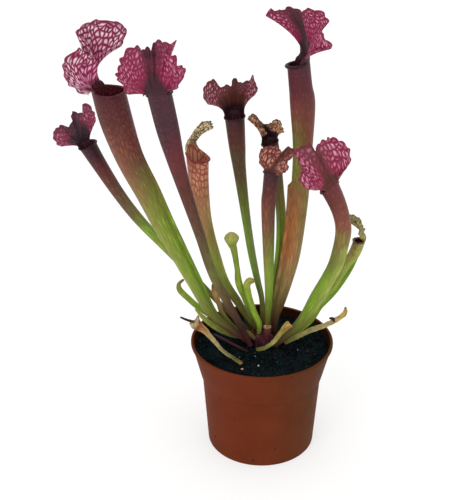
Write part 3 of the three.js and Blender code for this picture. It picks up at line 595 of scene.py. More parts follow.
        neck_tone="red_umber", window="dusk", edge="blush", net_width=0.24, cell=3.5, dim=0.4,
        opens=(0.2, 0.6), centre=0.13,
        path="""11 -4 93.3 4, 32 -8 119 8.5, 44 -13 145 12, 52 -17 165 11.5, 57 -20 179 12, 60 -23 197 12,
            61 -25 211 12.5, 59 -27 223 12.5, 55 -28 235 13.5, 49 -30 248 15""",
        hood="""40.5 -38 251, 35.5 -41 251.5, 29 -43 254, 24 -42 260.5, 26.5 -40 265.5, 26 -38 268.5,
            22 -32 274.5, 21.5 -29 278, 25.5 -27 280.5, 32 -27 283.5, 36.5 -30 278, 38.5 -29 284,
            43 -29 287.5, 48 -30 289, 55.5 -31 286.5, 61 -32 280.5, 62.5 -34 271.5, 60 -35 267.5,
            56.5 -36 264.5, 54 -36 261""",
        left="""0 maroon, 10 moss, 18 leaf_green, 32 leaf_green, 44 moss, 54 olive, 64 khaki,
            74 orange_brown, 84 red_brown, 92 red_umber, 100 red_umber""",
        right="""0 maroon, 10 olive, 20 lime, 42 yellow_green, 54 lime, 62 khaki, 72 orange_brown,
            84 red_brown, 100 wine""",
        vein="0 maroon, 40 olive, 60 red_brown, 100 maroon",
        strength="0 0.3, 35 0.25, 60 0.5, 80 0.55, 100 0.4",
    ),
    pitcher(
        "pitcher_curled",
        faces=195, wing=1, lift=3, neck=5, lip=0.6, lip_tone="dry_dark", veins=14, neck_tone="olive",
        window="pale_green", net_tone="umber", net_width=0.1, cell=1.8, dim=0.2, opens=(0, 0.5),
        path="""13 0 92.8 3.5, 32 -1 112 4, 46 -2 133 5, 59 -2 152 5.5, 68 -1 170 7.5, 74 -1 180 9.5,
            77 -1 190 9.5""",
        hood="""77 -6 195.5, 75 -5 205.5, 72 -4 209.5, 67.5 -3 208.5, 67.5 -1 213.5, 73 1 212, 78.5 2 206,
            81 3 197.5""",
        left="0 maroon, 14 moss, 35 lime, 60 yellow_green, 85 tan, 100 khaki",
        right="0 maroon, 14 olive, 35 leaf_green, 60 lime, 85 yellow_green, 100 pale_green",
        vein="0 olive, 60 olive, 100 umber",
        strength="0 0.3, 60 0.25, 100 0.5",
    ),
]
print("pitchers", [plan["name"] for plan in PITCHERS])

# %% [markdown]
# ## Tube, lip and hood
#
# A tube is a grid of rings along its path. Its front carries the wing, a thin keel, so the ring's
# points crowd together there. The inside is a second grid that starts at the mouth and goes down into
# the dark. The lip is the part that an insect stands on: the margin of the mouth rolls outward into a
# round, glossy edge. A bevelled curve with a thickness could stand in for it. Rings are used because
# the wing and the raised back of the rim are then two more terms in one formula.

# %% The wall of the tube
LEAF_WALL, HOOD_WALL = 0.9, 0.8
TUBE_ROWS, THROAT_ROWS, THROAT_DEPTH = 110, 26, 60
WING_ANGLES = [-0.24, -0.16, -0.1, -0.05, 0, 0.05, 0.1, 0.16, 0.24]
RING_ANGLES = np.concatenate([WING_ANGLES, np.linspace(0.36, 2 * math.pi - 0.36, 39)])
WING_FOOT, WING_TOP = 0.08, 0.85
MOUTH = np.array([1.0])


def from_front(angle):
    return (angle + math.pi) % (2 * math.pi) - math.pi


def wing_at(plan, t):
    """Height of the wing in mm. It swells and fades, but ends short where the plan has a wing_top."""
    share = np.clip((t - WING_FOOT) / (plan.get("wing_top", WING_TOP) - WING_FOOT), 0, 1)
    ends_short = np.minimum(1, share * 3) * (share < 1)
    return plan["wing"] * (ends_short if "wing_top" in plan else np.sin(math.pi * share))


def tube_point(plan, t, angle, inset, wing=True):
    """Points of a tube's wall in mm, rows by t, columns by angle; inset is their depth under the skin."""
    middle, width, way, front, side = station(plan["path"], plan["faces"], t)
    toward = np.cos(angle)[None, :]
    back = 0.5 - 0.5 * toward
    keel = wing_at(plan, t)[:, None] * np.exp(-(from_front(angle[None, :]) ** 2) / 0.012)
    radius = width[:, None] / 2 - inset + (keel if wing else 0)
    lift = plan["lift"] * back**2 * np.maximum(0, (t[:, None] - 0.86) / 0.14)
    return (
        middle[:, None]
        + front[:, None] * (radius * toward)[..., None]
        + side[:, None] * (radius * np.sin(angle)[None, :])[..., None]
        + way[:, None] * lift[..., None]
    )


test_ring = tube_point(PITCHERS[1], MOUTH, RING_ANGLES, 0)
print("mouth ring of", PITCHERS[1]["name"], "is", np.ptp(test_ring[0], axis=0).round(1), "mm across")

# %% [markdown]
# The tube is painted as it grew. Its left and right, along the scene's x axis, have their own ramps from
# the green foot to the red mouth: these hold each side's own colours and also painted light and shade,
# the lit side against the shaded one. The veins are long stripes in the stalk and close into a net towards
# the mouth, where they lead insects in. The throat is painted darker downward, as painted shade deep in
# the tube. Colours on the points are enough for this, because the tones change slowly, and the fine net
# comes from the finish.

# %% Paint of the tube: sides, veins and their place in the net
def round_place(angle):
    """How far round a tube a point lies, the same from both sides at the back, where the ring closes."""
    swing = from_front(angle)
    return np.abs(swing) + 0.35 * np.sin(swing)


def tube_paint(plan, t, angle, seed):
    _, _, _, front, side = station(plan["path"], plan["faces"], t)
    outward = front[:, None] * np.cos(angle)[None, :, None] + side[:, None] * np.sin(angle)[None, :, None]
    # The right ramp takes over along the scene's x axis: the two ramps hold each side's own colour and also
    # painted light and shade.
    right = smooth(-0.7, 0.7, outward[..., 0])[..., None]
    colour = blend(plan["left"], t)[:, None] * (1 - right) + blend(plan["right"], t)[:, None] * right
    run = length_along(plan["path"], t)
    streak = waves(angle[None, :] * 7, run[:, None] * 0.02, seed)
    line_width = np.interp(t, [0, 0.85], [0.14, 0.15])[:, None, None]
    ground = with_fourth(colour * (1 + 0.1 * streak[..., None]), line_width)
    cell_length = np.interp(t, [0, 0.6, 0.88, 1], [26, 16, 5.5, 3.2])
    climb = np.cumsum(np.diff(run, prepend=0) / cell_length)[:, None]
    around = plan["veins"] / (2 * math.pi)
    place = round_place(angle)[None, :] + seed * 2.3
    net = points_of(around * place, climb, 0.0)
    ribs = points_of(around / 2.6 * place, climb / 4, 0.0)
    vein = with_fourth(blend(plan["vein"], t), blend(plan["strength"], t)[:, None])[:, None]
    return ground, vein, net, ribs


def add_tube(grids, plan, seed):
    t = np.linspace(0, 1, TUBE_ROWS)
    skin = tube_point(plan, t, RING_ANGLES, 0)
    ground, vein, net, ribs = tube_paint(plan, t, RING_ANGLES, seed)
    grids.add(skin, ground, vein, net, ribs, wrap=True)
    # The inside goes from the mouth down to where it is dark.
    reach = length_along(plan["path"], t)[-1]
    inside_t = np.linspace(1, max(0.4, 1 - THROAT_DEPTH / reach), THROAT_ROWS)
    inside = tube_point(plan, inside_t, RING_ANGLES, LEAF_WALL, wing=False)
    inside[-1] = inside[-1].mean(axis=0)
    lining = tone[plan["throat"]] if "throat" in plan else tone["maroon"] + tone["crimson"] * 0.2
    lit = 0.25 if "throat" in plan else 0.0
    depth = np.linspace(0, 1, THROAT_ROWS)[:, None, None]
    # Painted shade: the throat darkens by up to 90 per cent from the mouth downward.
    throat = with_fourth(lining * (1 - 0.9 * smooth(lit, lit + 0.6, depth)), 0.16)
    throat_vein = np.append(tone[plan["throat_line"]], 0.8)
    grids.add(inside, throat, throat_vein, net[-THROAT_ROWS:][::-1], wrap=True)
    # The edge between the two faces at the mouth, and the cap at the foot.
    grids.add(np.stack([skin[-1], inside[0]]), ground[-2:], vein[-2:], net[-2:], wrap=True)
    foot = np.broadcast_to(skin[0].mean(axis=0), skin[0].shape)
    grids.add(np.stack([foot, skin[0]]), ground[:2], vein[:2], net[:2], wrap=True)


print("a tube has", (TUBE_ROWS + THROAT_ROWS) * len(RING_ANGLES), "points on its two faces")

# %% [markdown]
# The hood is a sheet that starts on the back of the rim, rises through the neck and spreads to its
# margin. Each line from the rim to the margin is a quadratic curve, pulled upward by the neck, as in
# the CAD source. The fine sheet adds what the plain one leaves out: a midrib, pleats in the neck, and
# small waves along the margin. A cloth tool could ruffle it as well, but a sheet between two measured
# lines keeps to the photo.

# %% The sheet of the hood
HOOD_COLUMNS, HOOD_ROWS = 150, 52


def hood_sheet(plan, a, t, seed):
    """The middle of the sheet: a runs from corner to corner of the neck, t from the rim to the margin."""
    first, last = (math.radians(180 + side * plan["grip"]) for side in (-1, 1))
    start = tube_point(plan, MOUTH, first + (last - first) * a, HOOD_WALL / 2, wing=False)[0]
    _, _, (way,), (front,), _ = station(plan["path"], plan["faces"], MOUTH)
    margin = along(plan["hood"], a)
    swell = plan["sides"] + (1 - plan["sides"]) * np.sin(math.pi * a) ** 2
    rise = start + way * (plan["neck"] * swell)[:, None]
    if "bend" in plan:
        where, spread, push = plan["bend"]
        rise[:, 0] += push * np.exp(-(((a - where) / spread) ** 2))
    u = t[:, None, None]
    sheet = (1 - u) ** 2 * start[None] + 2 * u * (1 - u) * rise[None] + u**2 * margin[None]
    phases = np.random.default_rng(seed).uniform(0, 6.28, 4)
    circle = 2 * math.pi * a
    big = 0.9 * np.sin(6 * circle)
    small = 0.55 * np.sin(15 * circle + phases[0]) + 0.35 * np.sin(27 * circle + phases[1])
    pleats = 0.28 * np.sin(9 * circle + phases[2])
    midrib = -0.5 * np.exp(-(((a - 0.5) / 0.022) ** 2))
    row = t[:, None]
    out = row**2 * big + row**4 * small + 4 * row * (1 - row) * pleats + (1 - row) ** 0.5 * midrib
    scallops = row**6 * plan["frill"] * (2 * np.abs(np.sin(11 * circle + phases[3])) - 1.4)
    return sheet + out[..., None] * front + scallops[..., None] * unit(margin - rise)[None]


print("a hood has", 2 * HOOD_COLUMNS * HOOD_ROWS, "points on its two faces")

# %% [markdown]
# In the hood the net opens: between the veins the leaf has no green or red left, and light comes
# through these pale windows. They are closed in the neck and in the middle, and open towards the
# margin. Light could really pass through them, but a pale colour looks the same in soft light, and it
# stays the same wherever the model is shown.

# %% Paint of the hood: windows between the veins
def hood_opening(plan, sheet, a, t, seed):
    """How far the windows are open, 0 to 1: not in the neck, the heart or low down at the sides."""
    middle = np.exp(-(((a - 0.5) / max(plan["centre"], 0.01)) ** 2)) * (plan["centre"] > 0)
    opening = smooth(*plan["opens"], t)[:, None] * (1 - middle[None] * (1 - 0.3 * t[:, None]))
    corner = smooth(0.8, 0.95, np.abs(2 * a - 1))[None] * (1 - smooth(0.5, 0.95, t))[:, None]
    drift = waves(sheet[..., 0] * 0.3, sheet[..., 2] * 0.3, seed)
    return smooth(0.15, 0.95, opening * (1 - 0.9 * corner) + 0.12 * drift)[..., None]


def hood_paint(plan, sheet, a, t, seed, inner):
    opening = hood_opening(plan, sheet, a, t, seed)
    # The net follows the growth: long cells leave the neck, branch and end as round windows at the margin.
    cells = np.linalg.norm(np.diff(along(plan["hood"], a), axis=0), axis=-1).sum() / plan["cell"]
    widths = np.linalg.norm(np.diff(sheet, axis=1), axis=-1).sum(axis=1)
    across = (0.4 + 0.6 * widths / widths.max())[:, None] * (a - 0.5)[None] * cells
    steps = np.linalg.norm(np.diff(sheet, axis=0, prepend=sheet[:1]), axis=-1)
    rise = np.cumsum(steps / (plan["cell"] * (2.2 - t[:, None])), axis=0)
    closed = plan["dim"] * (1.1 - 0.5 * opening[..., 0] * t[:, None])
    net = with_fourth(points_of(across + 13.7 * seed, rise, 0.0), closed[..., None])
    ribs = points_of(across / 2.4 + 13.7 * seed, rise / 4, 0.0)
    # The neck's colour, which starts from the top tone of the tube's right ramp with the painted light and
    # shade that it holds, gives way to the windows, and a dark line runs round the margin.
    heart, edge = plan.get("heart", plan["neck_tone"]), plan.get("edge", plan["window"])
    neck = blend([(0, plan["right"][-1][1]), (0.25, plan["neck_tone"]), (0.48, heart)], t)[:, None]
    window = blend([(0.5, plan["window"]), (0.9, edge)], t)[:, None]
    drawn = opening**0.6
    net_colour = neck * 0.55 * (1 - drawn) + tone[plan["net_tone"]] * drawn
    outline = 0.8 * smooth(0.945, 0.985, t)[:, None, None]
    colour = neck * (1 - opening) + window * (1.0 if inner else 0.92) * opening
    colour = colour * (1 - outline) + net_colour * 0.75 * outline
    ground = with_fourth(colour, plan["net_width"] * (1.5 - 0.5 * opening))
    return ground, with_fourth(net_colour, 0.75 + 0.25 * opening), net, ribs


third = np.linspace(0, 1, 4)
test_opening = hood_opening(PITCHERS[0], np.zeros((4, 4, 3)), third, third, 0)
print("windows of the first hood, from neck to margin, are open by", test_opening[:, 1, 0].round(2))

# %% [markdown]
# The sheet gets its two faces, each with its own paint, because the outer one is a little duller. A
# narrow strip closes the edge between them, darker than both, as the rim of a real hood is.

# %% The two faces and the edge of the hood
def border(field):
    """The three free sides of the hood's grid, as one row."""
    return np.concatenate([field[:, 0], field[-1], field[::-1, -1]])


def add_hood(grids, plan, seed):
    a, t = np.linspace(0, 1, HOOD_COLUMNS), np.linspace(0, 1, HOOD_ROWS)
    sheet = hood_sheet(plan, a, t, seed)
    normal = unit(np.cross(np.gradient(sheet, axis=1), np.gradient(sheet, axis=0)))
    thick = (HOOD_WALL / 2 * (1 - 0.35 * t))[:, None, None]
    outer, inner = sheet + normal * thick, sheet - normal * thick
    paint = hood_paint(plan, sheet, a, t, seed, inner=False)
    grids.add(outer, *paint)
    grids.add(inner, *hood_paint(plan, sheet, a, t, seed, inner=True), flip=True)
    ground, vein, net = (np.stack([border(field)] * 2) for field in paint[:3])
    ground[..., :3] = ground[..., :3] * 0.55 + tone["net_dark"] * 0.45
    grids.add(np.stack([border(inner), border(outer)]), ground, vein, net)


print("edge of a hood has", len(border(np.zeros((HOOD_ROWS, HOOD_COLUMNS)))), "points")

# %% [markdown]
# The lip is a roll that follows the mouth from one corner of the neck round the front to the other. It
# is thickest in front and dies away towards the neck. A bevel on the edge of the mouth would be even
# all round, so the lip has rings of its own.

# %% The rolled lip
LIP_HALF_TURN, LIP_POINTS, LIP_SIDES = math.radians(126), 64, 12


def add_lip(grids, plan, seed):
    angle = np.linspace(-LIP_HALF_TURN, LIP_HALF_TURN, LIP_POINTS)
    thick = (plan["lip"] * (1 - 0.45 * (np.abs(angle) / angle.max()) ** 3))[:, None]
    line = tube_point(plan, MOUTH, angle, 0, wing=False)[0]
    _, _, way, front, side = station(plan["path"], plan["faces"], MOUTH)
    outward = front * np.cos(angle)[:, None] + side * np.sin(angle)[:, None]
    centre = line + outward * (thick * 0.55) - way * (thick * 0.35)
    roll = full_turn(LIP_SIDES)
    ring = (
        centre[:, None]
        + outward[:, None] * (thick * np.cos(roll))[..., None]
        + way[None] * (thick * np.sin(roll))[..., None]
    )
    ring[0], ring[-1] = centre[0], centre[-1]
    colour = tone[plan["lip_tone"]] * (1 + 0.25 * np.sin(angle * 9 + seed))[:, None]
    ground, vein = with_fourth(colour, 0.05)[:, None], np.append(tone["black_red"], 0.35)
    grids.add(ring, ground, vein, points_of(angle[:, None] * 5, roll[None], 0.5), wrap=True, flip=True)


print("a lip reaches", round(math.degrees(LIP_HALF_TURN)), "degrees to each side of the front")

# %% Make every grown pitcher
for number, plan in enumerate(PITCHERS):
    grids = Grids()
    add_tube(grids, plan, number + 20)
    add_hood(grids, plan, number + 3)
    add_lip(grids, plan, number)
    grids.piece(plan["name"] + "_leaf", living_leaf, plan["name"])

# %% [markdown]
# ## The small leaves
#
# Round the grown pitchers stand two young ones that haven't opened, some plain green leaves, one that
# browns from its tip, three dried leaves and a bare stalk. Each is a closed blade on its own path. A
# living blade is a lens in section with a shallow channel down its face. A dried one has lost its
# water, so it curls into a deeper channel, crumples along its length and frays where it broke. The
# sections follow formulas, so one function makes them all.

# %% Plans of the small leaves
def blade(name, **plan):
    """flat: thickness against width. fold: depth of the channel. crumple: in mm. fray: share of length."""
    for key in ("path", "spur"):
        if key in plan:
            plan[key] = rows_of(plan[key])
    return {"name": name, "finish": "living", **plan, "tones": stops_of(plan["tones"])}


BLADES = [
    blade(
        "pitcher_young_round", faces=-90, flat=0.9, fold=0, veins=12, strength=0.3,
        path="""-3.5 7.5 102 3.5, -10 7 120 4, -15 8 134 5, -19.5 9 146.5 6, -21 10 160 4.5,
            -23.5 11 176 5.5, -25 12 181 7.5, -25.5 12 187 12.5, -25.5 12 192 9""",
        tones="0 maroon, 10 moss, 35 fresh, 60 lime, 75 yellow_green, 100 pale_green",
    ),
    blade(
        "pitcher_young_curl", faces=-90, flat=0.7, fold=0, veins=12, strength=0.35,
        path="""-2.5 1.5 102.2 3.5, -2.5 0 112.5 5, -7 0 124 5.5, -10.5 1 135 5.5, -12.5 2 143 6,
            -13 2 148.5 6, -10.5 2 152.5 6, -7 2 151 4""",
        tones="0 olive, 15 fresh, 50 fresh, 75 yellow_green, 100 tan",
    ),
    blade(
        "leaf_flat_right", faces=-120, flat=0.22, fold=0.12, veins=12, strength=0.3,
        path="""13 8.5 93.4 3.5, 33.5 10 106.5 6, 47.5 12 123 7.5, 59.5 13 138 8.5, 69.5 13 155 8,
            75.5 12 168.5 6.5, 79.5 11 179 2.5""",
        tones="0 olive, 15 moss, 35 fresh, 70 leaf_green, 90 fresh, 100 pale_green",
    ),
    blade(
        "leaf_cut_right", faces=-110, flat=0.3, fold=0.1, veins=10, strength=0.3,
        path="13.5 4.5 93.1 3.5, 37 4 110 6, 48.5 5 128 6, 57 6 140.5 6, 62.5 6 148 6",
        tones="0 olive, 20 fresh, 70 leaf_green, 93 fresh, 100 pale_green",
    ),
    blade(
        "leaf_hooked_left", faces=-60, flat=0.4, fold=0.14, veins=9, strength=0.35,
        path="""-9.5 10.5 93.7 3.5, -25.5 10 103.5 4.5, -39.5 12 111 5, -54 14 121 5, -62.5 15 129 5,
            -69 15 136.5 5, -70 15 142.5 4, -65.5 16 146.5 2.5""",
        tones="0 olive, 20 moss, 45 fresh, 75 lime, 92 tan, 100 orange_tan",
    ),
    blade(
        "leaf_pointed_left", faces=-60, flat=0.35, fold=0.12, veins=9, strength=0.3,
        path="-11 7 93.8 3.5, -25.5 7.5 97.5 4.5, -39 8 104.5 5, -49 8 113.5 4, -56.5 8 122.5 1.5",
        tones="0 umber, 30 olive, 70 yellow_green, 100 pale_green",
    ),
    blade(
        "leaf_browning", faces=-80, flat=0.35, fold=0.16, veins=9, strength=0.45,
        path="""-6 5 101.5 3, -19.5 6 103 4, -26 6 108.5 4, -33.5 6 119.5 4, -36.5 6 129 4,
            -39.5 6 139.5 5.5, -41.5 6 147.5 1.5""",
        tones="0 maroon, 20 moss, 40 olive, 60 tan, 80 dry, 100 dry_dark",
    ),
    blade(
        "leaf_small_left", faces=-80, flat=0.3, fold=0.12, veins=8, strength=0.3,
        path="-5.5 -1.5 98.4 3, -10 0 102.5 4, -14.5 1 104.5 4, -18.5 2 106.5 1.5",
        tones="0 maroon, 40 olive, 100 yellow_green",
    ),
    blade(
        "leaf_small_back", faces=-80, flat=0.35, fold=0.12, veins=8, strength=0.3,
        path="-6 21 92.5 2.5, -10 22 97 3.5, -12.5 22 101.5 3.5, -15 22 108.5 1.5",
        tones="0 moss, 50 blue_green, 100 blue_green",
    ),
    blade(
        "dry_leaf_left",
        faces=-90, flat=0.2, fold=0.3, veins=12, strength=0.55, crumple=0.45, fray=0.1, finish="dried",
        path="""-17 -31 93.3 4, -23 -25 94.5 4, -33 -13 95 4, -43 1 99.5 5, -49 9 102.5 7.5,
            -55 15 104.5 12, -57.5 19 106.5 12""",
        spur="-58 15.5 105.5 2.4, -63 17 106 2.2, -70 20 107.5 1.6",
        tones="0 dry, 6 tan, 13 olive, 45 straw, 66 dry, 78 rust, 88 dry_pale, 100 dry",
    ),
    blade(
        "dry_leaf_right",
        faces=-90, flat=0.35, fold=0.22, veins=9, strength=0.5, crumple=0.3, fray=0.02, finish="dried",
        path="""19 1 93.1 3.5, 28 4 97 5, 40 10 100 5.5, 54 15 102.5 5, 65 18 107 5, 71 19 112 4.5,
            72 21 117 1.5""",
        spur="62 16 106 2.4, 61 14 109.5 2.4, 57.5 13.5 110 1.8",
        tones="0 olive, 25 pale_green, 50 straw, 80 gold, 93 dry, 100 black_red",
    ),
    blade(
        "dry_leaf_short",
        faces=-90, flat=0.35, fold=0.2, veins=9, strength=0.5, crumple=0.35, fray=0.07, finish="dried",
        path="""-5 -10 93.7 3.5, 2 -10.5 95.5 4, 9 -11 101.5 4, 15.5 -12 112 4.5, 20 -13 118.5 6.5,
            22.5 -13 121 7.5""",
        tones="0 olive, 40 pale_green, 80 gold, 100 dry",
    ),
    blade(
        "stem_bare", faces=90, flat=1, fold=0, veins=8, strength=0.5, finish="stalk",
        path="-12 -13 93.2 2.5, -21 -4 93 2.5, -31 4 94 2.5, -41 12 95 2",
        tones="0 black_red, 50 plum, 100 ash",
    ),
]
print("small leaves", [plan["name"] for plan in BLADES])


# %% A blade with a channel, a crumple and a frayed end
THINNEST = 1.1


def blade_grid(plan, path, flat, seed, rows=80, columns=28):
    draw = np.random.default_rng(seed)
    angle = full_turn(columns)
    across, facing = np.sin(angle)[None, :], np.cos(angle)[None, :]
    teeth = np.arange(0, columns, 2)
    jag = np.interp(np.arange(columns), teeth, draw.uniform(0, 1, len(teeth)))
    t = np.linspace(0, 1, rows)[:, None] * (1 - plan.get("fray", 0) * jag[None])
    middle, width, way, front, side = station(path, plan["faces"], t)
    run = np.cumsum(np.linalg.norm(np.diff(middle, axis=0, prepend=middle[:1]), axis=-1), axis=0)
    # The last bit of the blade rounds off, unless the leaf broke there.
    left = np.clip(2 * (run[-1:] - run) / np.maximum(width, 0.1), 0, 1)
    tip = 1 if "fray" in plan else np.sqrt(np.clip(1 - (1 - left) ** 2, 0.02, 1))
    depth = np.maximum(width * flat, np.minimum(width, THINNEST))
    lens = facing * (1 - (0.5 if flat < 0.6 else 0) * across**2)
    crumple = plan.get("crumple", 0.08) * smooth(0.02, 0.3, t)
    out = depth / 2 * lens * tip + plan["fold"] * width * (across**2 - 0.4) * tip
    out = out + crumple * waves(run * 0.45, across * width * 0.5, seed)
    aside = width / 2 * across * tip + 0.6 * crumple * waves(run * 0.6, across, seed + 1)
    points = middle + front * out[..., None] + side * aside[..., None]
    caps = [np.broadcast_to(points[k].mean(axis=0), (1, columns, 3)) for k in (0, -1)]
    doubled = [np.concatenate([field[:1], field, field[-1:]]) for field in (t, run)]
    return np.concatenate([caps[0], points, caps[1]]), *doubled, angle


def blade_paint(plan, tones, t, run, angle, seed):
    colour = blend(tones, t)
    streak = waves(angle[None, :] * 3 + t, run * 0.12, seed)[..., None]
    colour = colour * (1 + 0.12 * streak)
    if plan["finish"] == "dried":
        stain = 0.55 * smooth(0.35, 1.0, waves(run * 0.2, angle[None, :] * 1.3, seed + 5))[..., None]
        colour = colour * (1 - stain) + tone["rust"] * stain
    around = plan["veins"] / (2 * math.pi)
    net = points_of(around * round_place(angle)[None, :] + seed * 2.3, run / 13, 0.0)
    ground, vein = with_fourth(colour, 0.1), with_fourth(colour * 0.42, plan["strength"])
    return ground, vein, net, net * (0.45, 0.45, 0.3)


def add_blade(grids, plan, path, flat, tones, seed, **sizes):
    points, *places = blade_grid(plan, path, flat, seed, **sizes)
    grids.add(points, *blade_paint(plan, tones, *places, seed), wrap=True)


print("blade functions ready, no blade thinner than", THINNEST, "mm")

# %% [markdown]
# Dried leaves are papery and quite matt, and their fibres stand out because the soft tissue between has
# shrunk. The bare stalk is an old leaf base: leathery, dark maroon, with no wax left on it. Two of the
# dried leaves end in a dark twig, the spur of their plan: the bare midrib of one, and the curled tip of
# the other. All of them are leaves under their surface, so they share the leaf's finish and differ in
# gloss and wax.

# %% Finishes and meshes of the small leaves
finishes = {
    "living": living_leaf,
    "dried": leaf_material("dried_leaf_papery_with_raised_fibres", 0.72, 0.0, 0.1),
    "stalk": leaf_material("old_stalk_leathery_without_wax", 0.62, 0.0, 0.08),
}
TWIG = {"faces": -90, "fold": 0, "veins": 8, "strength": 0.4, "finish": "stalk"}
TWIG_TONES = stops_of("0 umber, 30 deep_brown, 100 black_red")
for number, plan in enumerate(BLADES):
    grids = Grids()
    add_blade(grids, plan, plan["path"], plan["flat"], plan["tones"], number + 40)
    if "spur" in plan:
        add_blade(grids, TWIG, plan["spur"], 1.0, TWIG_TONES, number + 60, rows=24, columns=12)
    grids.piece(plan["name"] + "_leaf", finishes[plan["finish"]], plan["name"])

# %% [markdown]
# ## The pot
#
# The pot is injection moulded from thin polypropylene in a terracotta brown: a tapered body, a step, a
# flared band with a rolled lip, and a raised floor with six drain holes. It could be stacked from
# tapered cylinders, but one turned profile has no seams, and every corner of it can be a little
# rounded, as a mould needs. The holes are drilled through it.

# %% The profile, turned
RIM, BAND_FOOT, BODY_TOP, BODY_FOOT, PAD = 60, 51.6, 50.6, 46, 12  # outer radii in mm
POT_HEIGHT, STEP, POT_FLOOR, FOOT, FOOT_WIDTH, POT_WALL, LIP = 98, 66, 4.2, 2.2, 5, 1.3, 2.4
PROFILE = [
    (0, 0, 0), (PAD, 0, 0.6), (PAD + FOOT, FOOT, 0.6), (BODY_FOOT - FOOT_WIDTH - FOOT, FOOT, 0.6),
    (BODY_FOOT - FOOT_WIDTH, 0, 0.6), (BODY_FOOT - 0.4, 0, 0.8), (BODY_FOOT, 0.6, 0.6),
    (BODY_TOP, STEP, 0.5), (BAND_FOOT, STEP, 0.6), (RIM - 1.3, POT_HEIGHT - LIP - 1, 0.6),
    (RIM, POT_HEIGHT - LIP, 0.7), (RIM, POT_HEIGHT, 1.0),
    (RIM - LIP, POT_HEIGHT, 1.0), (RIM - LIP - 0.3, POT_HEIGHT - 4, 0.8),
    (BAND_FOOT - POT_WALL, STEP + 1, 1.0), (BODY_TOP - POT_WALL, STEP - 1, 1.0),
    (BODY_FOOT - POT_WALL, POT_FLOOR, 1.2), (0, POT_FLOOR, 0),
]


def rounded(profile, steps=6):
    """Each corner of the profile is replaced by a small curve; the third number is its size in mm."""
    corners = np.array([p[:2] for p in profile], float)
    line = [corners[0]]
    for before, corner, after, size in zip(corners, corners[1:], corners[2:], [p[2] for p in profile[1:]]):
        start = corner + unit(before - corner) * min(size, np.linalg.norm(before - corner) / 2)
        end = corner + unit(after - corner) * min(size, np.linalg.norm(after - corner) / 2)
        for u in np.linspace(0, 1, steps):
            line.append((1 - u) ** 2 * start + 2 * u * (1 - u) * corner + u**2 * end)
    return np.array(line + [corners[-1]])


line = rounded(PROFILE)
pot_points = turned(line[:, :1], line[:, 1:], full_turn(192)[None])
print("pot profile has", len(line), "points and is", line[:, 0].max(), "mm in radius")

# %% [markdown]
# The plastic is satin and a touch uneven: the skin of the moulding shows soft cloudy scuffs, a few fine
# scratches that run round it and specks of peat. Towards the right, and less towards the left, it is
# painted darker and browner, as painted shade at its sides. Inside, above the soil, it is painted dark,
# as painted shade in the pot's hollow. Polypropylene's refractive index is 1.49. The size of each
# pattern is a real one: scuffs about 26 mm wide, scratches that start 8 mm apart and lie much closer
# one above the other, and a speck in about half of all fields 11 mm wide.

# %% Finish of the pot
SCUFF_MM, SCRATCH_MM, SPECK_MM = 26.3, 8.33, 11.1


def per_metre(size_mm):
    """Scale of a pattern in Blender's metres."""
    return 1000 / size_mm


def pot_material(name):
    material, tree, shader = new_material(name)
    place = add_node(tree, "TexCoord").outputs["Object"]
    cloud = add_node(tree, "TexNoise", Vector=place, Scale=per_metre(SCUFF_MM), Detail=5.0, Roughness=0.6)
    shade = add_node(tree, "MapRange", Value=cloud.outputs[0], i1=0.3, i2=0.7, i3=0.88, i4=1.1)
    tinted = add_node(tree, "VectorMath", SCALED,
                      i0=painted(tree, "ground")["Color"], Scale=shade.outputs[0])
    squash = add_node(tree, "Mapping", Vector=place, Scale=(1.0, 1.0, 9.0))
    scratches = add_node(tree, "TexNoise", Vector=squash.outputs[0], Scale=per_metre(SCRATCH_MM), Detail=3.0)
    scratch = scratches.outputs[0]
    speck = add_node(tree, "TexVoronoi", Vector=place, Scale=per_metre(SPECK_MM), Randomness=1.0)
    dot = add_node(tree, "MapRange", Value=speck.outputs["Distance"], i1=0.08, i2=0.13, i3=1.0, i4=0.0)
    chosen = add_node(tree, "Math", ABOVE, i0=speck.outputs["Color"], i1=0.52)
    dirt = add_node(tree, "Math", TIMES, i0=dot.outputs[0], i1=chosen.outputs[0])
    colour = add_node(tree, "Mix", MIXED, i0=dirt.outputs[0], i6=tinted.outputs[0], i7=linear("#241512"))
    finish_surface(tree, shader, colour.outputs[2], scratch, (0.55, 0.68),
                   scratch, (0.12, 0.0003), 1.49, 0.04)
    return material


pot_finish = pot_material("polypropylene_injection_moulded_terracotta_brown")
# Painted shade: towards the right side, and less towards the left, the pot is painted darker and browner.
sideways = pot_points[..., :1] / RIM
brown = 0.15 + 0.75 * smooth(-0.2, 1.0, sideways) + 0.35 * smooth(0.6, 1.0, -sideways)
# Painted shade: inside the pot, from the inner edge of the lip down, the colour is darkened to 0.3.
inside = (np.arange(len(line)) >= len(line) * 0.72)[:, None, None]
pot_colour = linear_rgb("#692b15") * (1 - brown) + linear_rgb("#4f2f18") * brown
pot_colour = pot_colour * np.where(inside, 0.3, 1)
NO_VEIN, NO_NET = (0, 0, 0, 0), (0, 0, 0)
pot_grids = Grids()
pot_grids.add(pot_points, with_fourth(pot_colour, 1), NO_VEIN, NO_NET, wrap=True)
pot_piece = pot_grids.piece("pot_moulding", pot_finish, "pot")

# %% [markdown]
# The drain holes are round and go straight through the raised floor, halfway out. Six round pegs stand
# where they belong, and one Boolean cut takes them all out of the moulding. Faces left out of the floor
# would do for a picture, but a cut gives each hole its wall.

# %% Drill the drain holes
DRAINS, DRAIN_CIRCLE, DRAIN_RADIUS, PEG_SIDES = 6, 27, 4, 32

